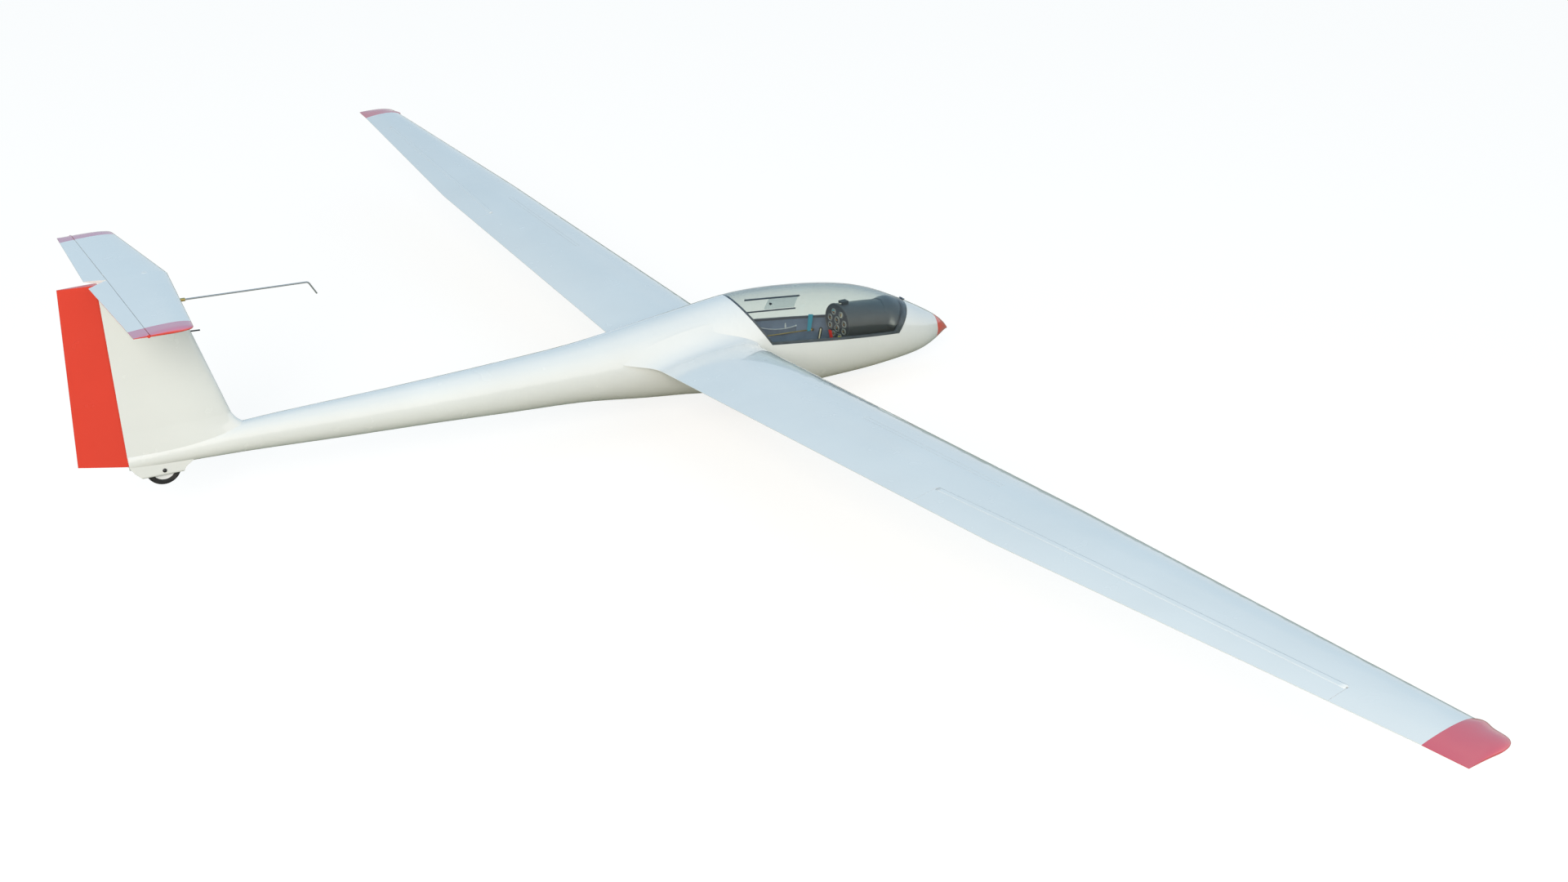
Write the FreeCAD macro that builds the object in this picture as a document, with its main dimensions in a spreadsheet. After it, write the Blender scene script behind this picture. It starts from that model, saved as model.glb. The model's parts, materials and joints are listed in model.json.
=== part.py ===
import FreeCAD, Part
import math
import os

import Sketcher
from FreeCAD import Matrix, Placement, Rotation, Vector

# Quarter-scale model of a 15 m sailplane, in millimetres, T-tail and retracting airbrakes.
# Design frame: nose tip at y = 0, fuselage along +Y, left wing along +X, +Z up, z = 0 close
# under the tail boom.  Every sub-part then moves by DATUM, which puts the origin on the
# ground under the middle of the model.

os.makedirs("parts", exist_ok=True)
doc = FreeCAD.newDocument("Sailplane")

SIZES = {
    "model datum": {
        "nose_to_origin": 929.0,
        "ground_drop": 152.0,
    },
    "fuselage": {
        "shell_wall": 1.6,
        "nose_joint_y": 49.0,
        "sill_front_y": 182.0,
        "sill_front_z": -33.0,
        "sill_rear_y": 518.0,
        "sill_rear_z": 8.0,
        "canopy_front_slope": -1.04,
        "canopy_rear_slope": 1.42,
        "canopy_gap": 0.5,
        "glass_wall": 1.4,
        "frame_width": 4.5,
        "frame_depth": 4.5,
        "canopy_hinge_y": 130.4,
        "canopy_hinge_z": 18.4,
        "canopy_hinge_width": 16.0,
    },
    "wing": {
        "wing_root_x": 97.0,
        "wing_break_x": 1089.0,
        "wing_band_x": 1813.0,
        "centre_lead_y": 547.2,
        "centre_trail_y": 786.7,
        "break_lead_y": 575.4,
        "break_trail_y": 764.0,
        "band_lead_y": 606.8,
        "band_trail_y": 707.6,
        "wing_height": 2.2,
        "dihedral_inner": 0.0638,
        "dihedral_outer": 0.0609,
        "root_thickness": 0.150,
        "break_thickness": 0.135,
        "band_thickness": 0.120,
        "wing_camber": 0.028,
        "wing_wall": 1.2,
        "cavity_lead": 0.03,
        "cavity_trail": 0.66,
        "edge_half": 0.5,
    },
    "ailerons and airbrakes": {
        "aileron_inner_x": 895.0,
        "aileron_inner_y": 720.0,
        "aileron_outer_x": 1684.0,
        "aileron_outer_y": 684.0,
        "hinge_gap": 0.5,
        "aileron_lip": 3.2,
        "brake_inner_x": 582.0,
        "brake_outer_x": 962.0,
        "brake_y": 639.0,
        "brake_blade": 2.4,
        "brake_cap_width": 8.0,
        "brake_depth": 17.0,
        "brake_box_wall": 0.8,
    },
    "joiner and spar": {
        "joiner_radius": 7.0,
        "joiner_reach": 300.0,
        "joiner_y": 662.0,
        "sleeve_wall": 1.0,
        "spar_width": 10.0,
        "spar_end_x": 1120.0,
        "locating_pin_radius": 2.5,
        "locating_pin_y": 722.0,
    },
    "tail": {
        "tail_height": 333.4,
        "tail_half_span": 292.4,
        "tail_lead_centre_y": 1668.3,
        "tail_lead_slope": 0.1007,
        "tail_trail_centre_y": 1797.9,
        "tail_trail_slope": -0.0339,
        "tail_thickness": 0.10,
        "elevator_hinge_y": 1765.4,
        "elevator_lip": 1.4,
        "notch_half_width": 24.0,
        "fin_lead_low_y": 1590.2,
        "fin_lead_low_z": 46.4,
        "fin_lead_slope": 0.3009,
        "rudder_trail_low_y": 1858.0,
        "rudder_trail_slope": -0.0476,
        "rudder_low_z": 17.8,
        "rudder_front_z": 4.0,
        "fin_thickness": 0.105,
        "rudder_axis_low_y": 1782.0,
        "rudder_axis_slope": 0.0119,
        "rudder_lip": 2.9,
        "fin_wall": 1.4,
    },
    "hinges": {
        "lug_thickness": 2.0,
        "lug_clearance": 0.4,
        "lug_eye_radius": 1.8,
        "pin_radius": 0.75,
        "pin_clearance": 0.05,
        "arm_room_slope": 0.66,
    },
    "main wheel": {
        "main_wheel_y": 530.0,
        "main_axle_z": -104.0,
        "main_wheel_radius": 48.0,
        "main_tyre_half": 13.0,
        "main_rim_radius": 30.0,
        "main_axle_radius": 4.0,
        "well_half_width": 19.0,
        "well_radius": 55.0,
        "well_wall": 1.2,
    },
    "tail wheel": {
        "tail_wheel_y": 1722.5,
        "tail_axle_z": -14.0,
        "tail_wheel_radius": 30.0,
        "tail_tyre_half": 6.5,
        "tail_rim_radius": 20.0,
        "tail_axle_radius": 2.0,
        "tail_fairing_half": 12.5,
        "tail_slot_half": 8.0,
    },
    "cockpit": {
        "liner_wall": 1.4,
        "panel_y": 302.0,
        "panel_z": -6.0,
        "panel_half_width": 45.0,
        "panel_half_height": 40.0,
        "panel_plate": 2.4,
        "gauge_radius": 6.2,
        "shroud_wall": 1.2,
        "stick_y": 351.0,
        "stick_pivot_z": -84.0,
        "stick_radius": 2.2,
        "grip_radius": 3.4,
        "lever_x": 61.0,
        "lever_y": 336.0,
        "lever_rod_radius": 1.5,
        "vent_pane": 1.0,
    },
    "probes": {
        "probe_radius": 1.5,
        "pitot_radius": 1.3,
        "tow_eye_radius": 2.2,
    },
}


def build_sheet():
    """Spreadsheet with one named cell for every driving dimension."""
    cells = doc.addObject("Spreadsheet::Sheet", "Dims")
    row = 1
    for section, entries in SIZES.items():
        cells.set(f"A{row}", section)
        row += 1
        for alias, number in entries.items():
            cells.set(f"A{row}", alias.replace("_", " "))
            cells.set(f"B{row}", repr(number))
            cells.setAlias(f"B{row}", alias)
            row += 1
    return cells


sheet = build_sheet()
doc.recompute()
subparts = []
hinge_lugs, hinge_pins = [], []


def size(alias):
    """Number held by one cell of the sheet."""
    return float(getattr(sheet, alias))


def value(expression):
    """Number that an expression such as 'Dims.shell_wall * 2' gives."""
    return float(sheet.evalExpression(expression))


DATUM = Vector(0, -size("nose_to_origin"), size("ground_drop"))
X_AXIS, Y_AXIS, Z_AXIS = Vector(1, 0, 0), Vector(0, 1, 0), Vector(0, 0, 1)


# ---------------------------------------------------------------- document helpers

def feature(label, shape):
    """Free-form sub-part: its shape comes from the functions below, its place from DATUM."""
    item = doc.addObject("Part::Feature", label)
    item.Label = label
    item.Shape = shape
    item.Placement = Placement(DATUM, Rotation())
    subparts.append(item)
    return item


def bind_place(item, x, y, z):
    """Ties an object's position to the sheet; x, y and z are expressions in the design frame."""
    item.setExpression(".Placement.Base.x", x)
    item.setExpression(".Placement.Base.y", f"{y} - Dims.nose_to_origin")
    item.setExpression(".Placement.Base.z", f"{z} + Dims.ground_drop")


def primitive(kind, name, place, turn=None, **sizes):
    """Part primitive with its sizes and place tied to the sheet."""
    item = doc.addObject(f"Part::{kind}", name)
    for prop, expression in sizes.items():
        item.setExpression(prop, expression)
    if turn:
        item.Placement.Rotation = Rotation(turn[0], turn[1])
    bind_place(item, *place)
    return item


def combine(kind, label, base, tool):
    """Boolean of two document objects."""
    item = doc.addObject(f"Part::{kind}", label)
    item.Base = base
    item.Tool = tool
    return item


def finish_part(item, label):
    item.Label = label
    subparts.append(item)
    return item


def mirrored(label, source):
    """Right-hand twin of a left-hand sub-part."""
    twin = doc.addObject("Part::Mirroring", label)
    twin.Source = source
    twin.Normal = X_AXIS
    return finish_part(twin, label)


def outline_sketch(body, role, points):
    """Closed outline of straight lines; every corner is a pair of expressions."""
    sketch = body.newObject("Sketcher::SketchObject", f"{body.Name}_outline")
    plane = next(f for f in body.Origin.OriginFeatures if f.Role == role)
    sketch.AttachmentSupport = [(plane, "")]
    sketch.MapMode = "FlatFace"
    corners = [Vector(value(across), value(up), 0) for across, up in points]
    count = len(corners)
    for index in range(count):
        line = Part.LineSegment(corners[index], corners[(index + 1) % count])
        sketch.addGeometry(line, False)
    for index in range(count):
        following = (index + 1) % count
        sketch.addConstraint(Sketcher.Constraint("Coincident", index, 2, following, 1))
    for index, corner in enumerate(corners):
        for kind, axis, number, expression in (
            ("DistanceX", -2, corner.x, points[index][0]),
            ("DistanceY", -1, corner.y, points[index][1]),
        ):
            if abs(number) < 1e-9:
                sketch.addConstraint(Sketcher.Constraint("PointOnObject", index, 1, axis))
            else:
                rule = Sketcher.Constraint(kind, -1, 1, index, 1, number)
                place = sketch.addConstraint(rule)
                sketch.setExpression(f"Constraints[{place}]", expression)
    return sketch


def turned(label, place, points):
    """Body turned about a left-right axle: corners are (along the axle, radius)."""
    body = doc.addObject("PartDesign::Body", label)
    sketch = outline_sketch(body, "XY_Plane", points)
    turn = body.newObject("PartDesign::Revolution", f"{label}_turn")
    turn.Profile = sketch
    turn.ReferenceAxis = (sketch, ["H_Axis"])
    turn.Angle = 360
    bind_place(body, *place)
    doc.recompute()
    return finish_part(body, label)


def side_plate(label, place, points, thickness):
    """Body padded left and right of its middle: corners are (y, z)."""
    body = doc.addObject("PartDesign::Body", label)
    sketch = outline_sketch(body, "YZ_Plane", points)
    pad = body.newObject("PartDesign::Pad", f"{label}_pad")
    pad.Profile = sketch
    pad.setExpression("Length", thickness)
    pad.Midplane = True
    bind_place(body, *place)
    return body


# ---------------------------------------------------------------- shape helpers

def ring(y, centre_z, half_width, half_height):
    """Ellipse across the fuselage, as one closed edge."""
    edge = Part.Circle(Vector(0, 0, 0), Y_AXIS, 1).toShape()
    grow = Matrix()
    grow.scale(half_width, 1, half_height)
    grow.move(Vector(0, y, centre_z))
    return Part.Wire([edge.transformGeometry(grow)])


def block(low, high):
    """Box between two corners."""
    spread = Vector(*high) - Vector(*low)
    return Part.makeBox(spread.x, spread.y, spread.z, Vector(*low))


def side_prism(points, half_width=400.0, centre_x=0.0):
    """Side-view outline of (y, z) corners, thick enough to reach across the model."""
    corners = [Vector(centre_x - half_width, y, z) for y, z in points]
    face = Part.Face(Part.makePolygon(corners + corners[:1]))
    return face.extrude(Vector(2 * half_width, 0, 0))


def rod(start, end, radius):
    return Part.makeCylinder(radius, (end - start).Length, start, end - start)


def tube(start, end, outer, inner):
    return rod(start, end, outer).cut(rod(start, end, inner))


def thickness_at(station, ratio):
    """Half thickness of the symmetric profile, as a fraction of the chord."""
    root = 0.2969 * math.sqrt(station)
    rest = -0.1260 * station - 0.3516 * station**2 + 0.2843 * station**3 - 0.1036 * station**4
    return 5 * ratio * (root + rest)


def camber_at(station, camber):
    """Height of the profile's mean line, as a fraction of the chord."""
    peak = 0.4
    if station < peak:
        return camber / peak**2 * (2 * peak * station - station**2)
    return camber / (1 - peak) ** 2 * (1 - 2 * peak + 2 * peak * station - station**2)


class Profile:
    """One airfoil section between a leading and a trailing point."""

    def __init__(self, lead, trail, ratio, camber=0.0, up=Z_AXIS):
        self.lead = lead
        self.chord = (trail - lead).Length
        self.along = (trail - lead).normalize()
        self.ratio = ratio
        self.camber = camber
        self.up = up

    def half(self, station):
        """Half thickness in millimetres, with a trailing edge that isn't sharp."""
        return thickness_at(station, self.ratio) * self.chord + size("edge_half") * station

    def point(self, station, side, inset=0.0):
        """Point on the upper (side 1), lower (side -1) or mean (side 0) line."""
        mean = camber_at(station, self.camber) * self.chord
        height = mean + side * (self.half(station) - inset)
        return self.lead + self.along * (station * self.chord) + self.up * height

    def skin(self, steps=12):
        """Closed outline: one spline round the nose and one line at the trailing edge."""
        stations = [(1 - math.cos(math.pi * i / steps)) / 2 for i in range(steps + 1)]
        upper = [self.point(s, 1) for s in reversed(stations)]
        lower = [self.point(s, -1) for s in stations[1:]]
        curve = Part.BSplineCurve()
        curve.interpolate(upper + lower)
        return Part.Wire([curve.toShape(), Part.makeLine(lower[-1], upper[0])])

    def cavity(self, front, back, wall, steps=8):
        """Outline of the hollow between two fractions of the chord, one wall inside."""
        stations = [front + (back - front) * (i / steps) ** 1.6 for i in range(steps + 1)]
        edges = []
        ends = []
        for side in (1, -1):
            points = [self.point(s, side, wall) for s in stations]
            curve = Part.BSplineCurve()
            curve.interpolate(points)
            edges.append(curve.toShape())
            ends.append((points[0], points[-1]))
        edges.append(Part.makeLine(ends[0][1], ends[1][1]))
        edges.append(Part.makeLine(ends[1][0], ends[0][0]))
        return Part.Wire(Part.__sortEdges__(edges))


def loft(wires, ruled=True):
    return Part.makeLoft(wires, True, ruled)


def cone_between(start, end, start_radius, end_radius):
    return Part.makeCone(start_radius, end_radius, (end - start).Length, start, end - start)


class HingeLine:
    """Hinge axis of a control surface, with the round nose that turns on it."""

    def __init__(self, start, end, start_radius, end_radius, up):
        self.start, self.end = start, end
        self.radii = (start_radius, end_radius)
        self.axis = (end - start).normalize()
        self.up = up
        self.aft = Y_AXIS

    def at(self, fraction):
        return self.start + (self.end - self.start) * fraction

    def radius(self, fraction):
        return self.radii[0] + (self.radii[1] - self.radii[0]) * fraction

    def region(self, trim, shift, reach=130.0, depth=60.0):
        """Everything aft of the axis, trimmed at both ends and shifted forward."""
        low = self.start + self.axis * trim - self.aft * shift
        high = self.end - self.axis * trim - self.aft * shift
        corners = [low, high, high + self.aft * reach, low + self.aft * reach, low]
        lowered = [corner - self.up * depth for corner in corners]
        return Part.Face(Part.makePolygon(lowered)).extrude(self.up * (2 * depth))

    def nose(self, trim, extra):
        """Tapered round nose about the axis."""
        low, high = self.start + self.axis * trim, self.end - self.axis * trim
        return cone_between(low, high, self.radii[0] + extra, self.radii[1] + extra)

    def split(self, whole, lip, gap):
        """Fixed part and moving part of one solid."""
        moving = whole.common(self.region(gap, 0.0)).fuse(self.nose(gap, -0.2))
        fixed = whole.cut(self.region(0.0, lip)).cut(self.nose(0.0, gap - 0.2))
        return fixed, moving.removeSplitter()

    def arm_room(self, centre, half_width, eye_room, reach):
        """Room for a lug: its eye, and the wedge ahead that its arm sweeps in the moving part."""
        half = self.axis * half_width
        spread = self.up.cross(self.axis).normalize()
        ahead = spread * (1.0 if spread.dot(self.aft) < 0 else -1.0) * reach
        side = self.axis.cross(ahead).normalize() * (reach * size("arm_room_slope") + eye_room)
        corners = [centre - half - side * (eye_room / side.Length),
                   centre - half + side * (eye_room / side.Length),
                   centre - half + side + ahead, centre - half - side + ahead]
        wedge = Part.Face(Part.makePolygon(corners + corners[:1])).extrude(half * 2)
        return rod(centre - half, centre + half, eye_room).fuse(wedge)

    def hardware(self, fractions, grip):
        """Fixed lugs, the pins pressed into them, and the room they need in the moving part."""
        lug, eye, pin = size("lug_thickness"), size("lug_eye_radius"), size("pin_radius")
        room = lug / 2 + size("lug_clearance")
        reach = room + 3.0
        lugs, pins, slots = [], [], []
        for fraction in fractions:
            centre = self.at(fraction)
            radius = self.radius(fraction)
            arm_end = centre - self.aft * (radius + grip)
            plate = rod(centre - self.axis * (lug / 2), centre + self.axis * (lug / 2), eye)
            side = self.up * eye
            half = self.axis * (lug / 2)
            corners = [centre - half - side, centre - half + side,
                       arm_end - half + side, arm_end - half - side]
            arm = Part.Face(Part.makePolygon(corners + corners[:1])).extrude(half * 2)
            shaft = rod(centre - self.axis * reach, centre + self.axis * reach, pin)
            lugs.append(plate.fuse(arm).cut(shaft))
            pins.append(shaft)
            slots.append(self.arm_room(centre, room, eye + 0.7, radius + 2.5))
            slots.append(rod(centre - self.axis * (reach + 0.3), centre + self.axis * (reach + 0.3),
                             pin + size("pin_clearance")))
        return lugs, pins, slots


def mirror_shape(shape):
    return shape.mirror(Vector(0, 0, 0), X_AXIS)


# ---------------------------------------------------------------- fuselage

# station y, top z, bottom z, half width
STATIONS = (
    (0, -71.9, -75.9, 2.0),
    (22, -48.3, -82.6, 16.8),
    (73, -13.9, -103.5, 41.9),
    (145, 24.4, -115.1, 60.6),
    (236, 63.8, -120.9, 73.3),
    (344, 88.9, -122.6, 80.0),
    (453, 101.6, -122.6, 80.7),
    (562, 104.4, -111.1, 79.2),
    (671, 93.5, -92.7, 71.4),
    (780, 80.3, -78.6, 64.4),
    (906, 64.6, -60.6, 55.1),
    (1052, 56.2, -49.2, 47.2),
    (1233, 50.3, -36.1, 39.6),
    (1414, 46.6, -24.8, 31.9),
    (1595, 41.8, -12.9, 23.4),
    (1740, 30.0, -7.9, 15.5),
    (1800, 25.0, -5.0, 12.5),
)


def fuselage_body(inset=0.0):
    """Smooth body through the stations, with every section drawn in by the inset."""
    rings = []
    for y, top, bottom, half_width in STATIONS:
        half_height = (top - bottom) / 2
        if min(half_width, half_height) <= inset + 0.5:
            continue
        rings.append(ring(y, (top + bottom) / 2, half_width - inset, half_height - inset))
    return loft(rings, ruled=False)


def sill_z(y):
    front = size("sill_front_y"), size("sill_front_z")
    rear = size("sill_rear_y"), size("sill_rear_z")
    return front[1] + (rear[1] - front[1]) * (y - front[0]) / (rear[0] - front[0])


def canopy_prism(inset):
    """Side-view outline of the canopy, drawn in by the inset on its three cut edges."""
    front_y, rear_y = size("sill_front_y"), size("sill_rear_y")
    front_lean = math.hypot(1, size("canopy_front_slope")) / abs(size("canopy_front_slope"))
    rear_lean = math.hypot(1, size("canopy_rear_slope")) / size("canopy_rear_slope")
    low_front = front_y + inset * (front_lean + 1)
    low_rear = rear_y - inset * (rear_lean - 0.7)
    top = 160.0
    high_front = front_y + inset * front_lean
    high_front += (top - size("sill_front_z")) / size("canopy_front_slope")
    high_rear = rear_y - inset * rear_lean
    high_rear += (top - size("sill_rear_z")) / size("canopy_rear_slope")
    return side_prism([(low_front, sill_z(low_front) + inset),
                       (low_rear, sill_z(low_rear) + inset),
                       (high_rear, top), (high_front, top)])


def wing_line(x):
    """Leading y, trailing y, height and thickness ratio of the wing at distance x."""
    brk, band = size("wing_break_x"), size("wing_band_x")
    height = size("wing_height") + size("dihedral_inner") * min(x, brk)
    if x <= brk:
        part, first, second = x / brk, "centre", "break"
        ratio_ends = size("root_thickness"), size("break_thickness")
    else:
        part, first, second = (x - brk) / (band - brk), "break", "band"
        ratio_ends = size("break_thickness"), size("band_thickness")
        height += size("dihedral_outer") * (x - brk)

    def between(kind):
        low, high = size(f"{first}_{kind}_y"), size(f"{second}_{kind}_y")
        return low + (high - low) * part

    ratio = ratio_ends[0] + (ratio_ends[1] - ratio_ends[0]) * part
    return between("lead"), between("trail"), height, ratio


def wing_profile(x):
    lead, trail, height, ratio = wing_line(x)
    return Profile(Vector(x, lead, height), Vector(x, trail, height), ratio, size("wing_camber"))


def root_fairing():
    """Flared stub that blends the left wing into the fuselage side."""
    root = size("wing_root_x")
    lead, trail, height, ratio = wing_line(root)
    # distance from the wing root, lead forward, trail aft, trail raised, thickness factor
    flare = ((0, 0, 0, 0, 1.0), (9, 1, 2, 0, 1.04), (18, 4, 10, 2, 1.16), (27, 9, 26, 5, 1.36),
             (36, 15, 52, 10, 1.62), (46, 22, 84, 16, 1.95))
    wires = []
    for inward, forward, aft, raised, thicker in flare:
        x = root - inward
        start = Vector(x, lead - forward, height)
        stop = Vector(x, trail + aft, height + raised)
        wires.append(Profile(start, stop, ratio * thicker * 0.94, size("wing_camber")).skin())
    return loft(wires, ruled=False)


def fin_profile(z):
    lead_y = size("fin_lead_low_y") + size("fin_lead_slope") * (z - size("fin_lead_low_z"))
    trail_y = size("rudder_trail_low_y") + size("rudder_trail_slope") * (z - size("rudder_low_z"))
    return Profile(Vector(0, lead_y, z), Vector(0, trail_y, z), size("fin_thickness"), up=X_AXIS)


def fin_root_flare():
    """Fillet that carries the fin's leading edge and sides down into the tail boom."""
    wires = []
    for z, forward, thicker in ((12, 40, 1.08), (26, 36, 1.035), (38, 19, 1.045), (50, 6, 1.03),
                                (66, 0, 1.0)):
        base = fin_profile(z)
        lead = base.lead - Y_AXIS * forward
        trail = base.lead + Y_AXIS * base.chord
        wires.append(Profile(lead, trail, base.ratio * thicker, up=X_AXIS).skin())
    return loft(wires, ruled=False)


def rudder_axis_point(z):
    return Vector(0, size("rudder_axis_low_y") + size("rudder_axis_slope") * z, z)


def nose_radius(profile, y):
    """Radius of a hinge nose that lies just inside the skin at y."""
    station = (y - profile.lead.y) / (profile.chord * profile.along.y)
    return profile.half(station)


def rudder_hinge():
    low, high = 4.0, size("tail_height")
    ends = [rudder_axis_point(z) for z in (low, high)]
    radii = [nose_radius(fin_profile(point.z), point.y) for point in ends]
    return HingeLine(ends[0], ends[1], radii[0], radii[1], X_AXIS)


def tail_profile(x, lead_shift=0.0, thin=1.0):
    lead_y = size("tail_lead_centre_y") + size("tail_lead_slope") * abs(x) + lead_shift
    trail_y = size("tail_trail_centre_y") + size("tail_trail_slope") * abs(x)
    z = size("tail_height")
    return Profile(Vector(x, lead_y, z), Vector(x, trail_y, z), size("tail_thickness") * thin)


def tail_surface():
    """Whole horizontal tail before the elevator is cut from it."""
    band = 277.0
    main = loft([tail_profile(x).skin() for x in (-band, 0, band)])
    # x of each tip section, lead swept back, thickness factor
    tip = ((band, 0.0, 1.0), (283, 0.6, 0.95), (288, 4.0, 0.8), (291, 10.5, 0.58), (292.4, 24.0, 0.3))
    cap = loft([tail_profile(x, shift, thin).skin() for x, shift, thin in tip], ruled=False)
    return main.fuse([cap, mirror_shape(cap)])


def wheel_cylinder(y, z, radius, half_width):
    return Part.makeCylinder(radius, 2 * half_width, Vector(-half_width, y, z), X_AXIS)


def tail_fairing():
    """Streamlined housing of the tail wheel under the boom."""
    outline = [(1781, 6), (1771, -11), (1759, -23.2), (1691, -24.4), (1686, -15.5), (1673, -6),
               (1667, 12), (1781, 12)]
    housing = side_prism(outline, size("tail_fairing_half"))
    rounded = [edge for edge in housing.Edges if abs(edge.tangentAt(0).x) < 0.5
               and edge.CenterOfMass.z < -10 and edge.BoundBox.YLength > 20]
    return housing.makeFillet(5.0, rounded)


def build_fuselage(tail):
    outer = fuselage_body()
    inner = fuselage_body(size("shell_wall"))
    fairing = root_fairing()
    fairings = fairing.fuse(mirror_shape(fairing))
    hinge = rudder_hinge()
    fin = loft([fin_profile(z).skin() for z in (15.0, 340.0)])
    fin_hollow = loft([fin_profile(z).cavity(0.06, 0.60, size("fin_wall")) for z in (20.0, 318.0)])
    flare = fin_root_flare()
    boom_end = block((-60, size("rudder_axis_low_y") - size("rudder_lip"), -60), (60, 1900, 400))
    body = outer.cut(boom_end).fuse([fairings, fin, flare, tail_fairing()])
    body = body.cut(inner.cut(boom_end.translated(Vector(0, -6, 0))))
    body = body.cut(fin_hollow)
    body = body.cut(hinge.region(-20.0, size("rudder_lip")))
    body = body.cut(hinge.nose(-20.0, size("hinge_gap")))
    body = body.cut(tail)
    aft_top = block((-30, size("elevator_hinge_y") - 8, size("tail_height") - 7.5), (30, 1900, 400))
    body = body.cut(aft_top)
    body = body.cut(block((-60, 1600, size("tail_height")), (60, 1900, 400)))
    body = body.cut(canopy_prism(0.0).common(block((-200, 0, -60), (200, 700, 300))))
    return body, inner, hinge


tail_whole = tail_surface()
fuselage, fuselage_inner, rudder_line = build_fuselage(tail_whole)

# main wheel opening in the belly, and the tail wheel's slot
WELL_LOW = (-size("well_half_width"), size("main_wheel_y") - size("well_radius"), -200.0)
WELL_HIGH = (size("well_half_width"), size("main_wheel_y") + size("well_radius"), -50.0)
tail_slot = wheel_cylinder(size("tail_wheel_y"), size("tail_axle_z"),
                           size("tail_wheel_radius") + 2.0, size("tail_slot_half"))
fuselage = fuselage.cut([block(WELL_LOW, WELL_HIGH), tail_slot])
nose_end = block((-200, -10, -200), (200, size("nose_joint_y"), 200))
nose_tip = fuselage_body().common(nose_end)
nose_hollow = fuselage_body(2.4).common(block((-200, 16, -200), (200, size("nose_joint_y"), 200)))
fuselage = fuselage.cut(nose_end)


def add_fuselage():
    """Moulded shell with its fin, and the fittings that pass through its wall."""
    axle_hole = rod(Vector(-40, size("tail_wheel_y"), size("tail_axle_z")),
                    Vector(40, size("tail_wheel_y"), size("tail_axle_z")),
                    size("tail_axle_radius"))
    joiner_holes = [joiner_arm(side, 0.0) for side in (-1, 1)]
    pins = locating_pins()
    probe_seat = rod(probe_point(1646), probe_point(1668), 3.0)
    fit_clearance = 0.05
    pitot_seat = rod(pitot_point(1620), pitot_point(1651), size("pitot_radius") + fit_clearance)
    bolt_hole = rod(Vector(0, 1705, 300), Vector(0, 1705, 345), 2.0)
    hinge_notch = rod(Vector(-size("canopy_hinge_width") / 2 - 0.5, size("canopy_hinge_y"),
                             size("canopy_hinge_z")),
                      Vector(size("canopy_hinge_width") / 2 + 0.5, size("canopy_hinge_y"),
                             size("canopy_hinge_z")), 2.3)
    reach = size("canopy_hinge_width") / 2
    leaf_notch = block((-reach, size("canopy_hinge_y"), size("canopy_hinge_z") - 4.0),
                       (reach, size("canopy_hinge_y") + 7, size("canopy_hinge_z") + 4.0))
    shell = fuselage.cut([axle_hole, probe_seat, pitot_seat, bolt_hole, hinge_notch, leaf_notch,
                          tow_hook] + joiner_holes + pins)
    feature("fuselage_shell", largest(shell.cut(rudder_parts()["lugs"])))
    feature("nose_cone", nose_tip.cut(nose_hollow))


def largest(shape):
    """The main solid of a shape, without crumbs that a cut may leave."""
    return max(shape.Solids, key=lambda solid: solid.Volume)


def joiner_arm(side, extra):
    """One arm of the wing joiner, which has the wing's dihedral bent into it."""
    reach, radius = size("joiner_reach"), size("joiner_radius") + extra
    base = Vector(0, size("joiner_y"), joiner_height(0))
    tip = Vector(side * reach, size("joiner_y"), joiner_height(reach))
    return rod(base, tip, radius)


def joiner_height(x):
    """Height of the joiner, centred in the wing's thickness."""
    profile = wing_profile(max(x, 1.0))
    station = (size("joiner_y") - profile.lead.y) / profile.chord
    return profile.point(station, 0).z


def locating_pins():
    """Short pins that stop each wing panel from turning about the joiner."""
    root = size("wing_root_x")
    profile = wing_profile(root)
    station = (size("locating_pin_y") - profile.lead.y) / profile.chord
    height = profile.point(station, 0).z
    shapes = []
    for side in (-1, 1):
        start = Vector(side * (root - 14), size("locating_pin_y"), height)
        stop = Vector(side * (root + 12), size("locating_pin_y"), height)
        shapes.append(rod(start, stop, size("locating_pin_radius")))
    return shapes


def rudder_parts():
    """Rudder with its lugs and pins, cut from the vertical tail's own profile."""
    line = rudder_line
    profiles = [fin_profile(z).skin() for z in (0.0, size("tail_height"))]
    whole = loft(profiles)
    moving = line.split(whole, size("rudder_lip"), size("hinge_gap"))[1]
    foot = side_prism([(1760, size("rudder_front_z")), (1778, size("rudder_front_z")),
                       (1870, size("rudder_low_z") + 2.2), (1870, -40), (1760, -40)])
    lugs, pins, slots = line.hardware((0.1, 0.5, 0.88), 9.0)
    moving = moving.cut([foot] + slots)
    return {"rudder": largest(moving), "lugs": lugs, "pins": pins}


def add_rudder():
    parts = rudder_parts()
    feature("rudder", parts["rudder"])
    hinge_lugs.extend(parts["lugs"])
    hinge_pins.extend(parts["pins"])


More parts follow.
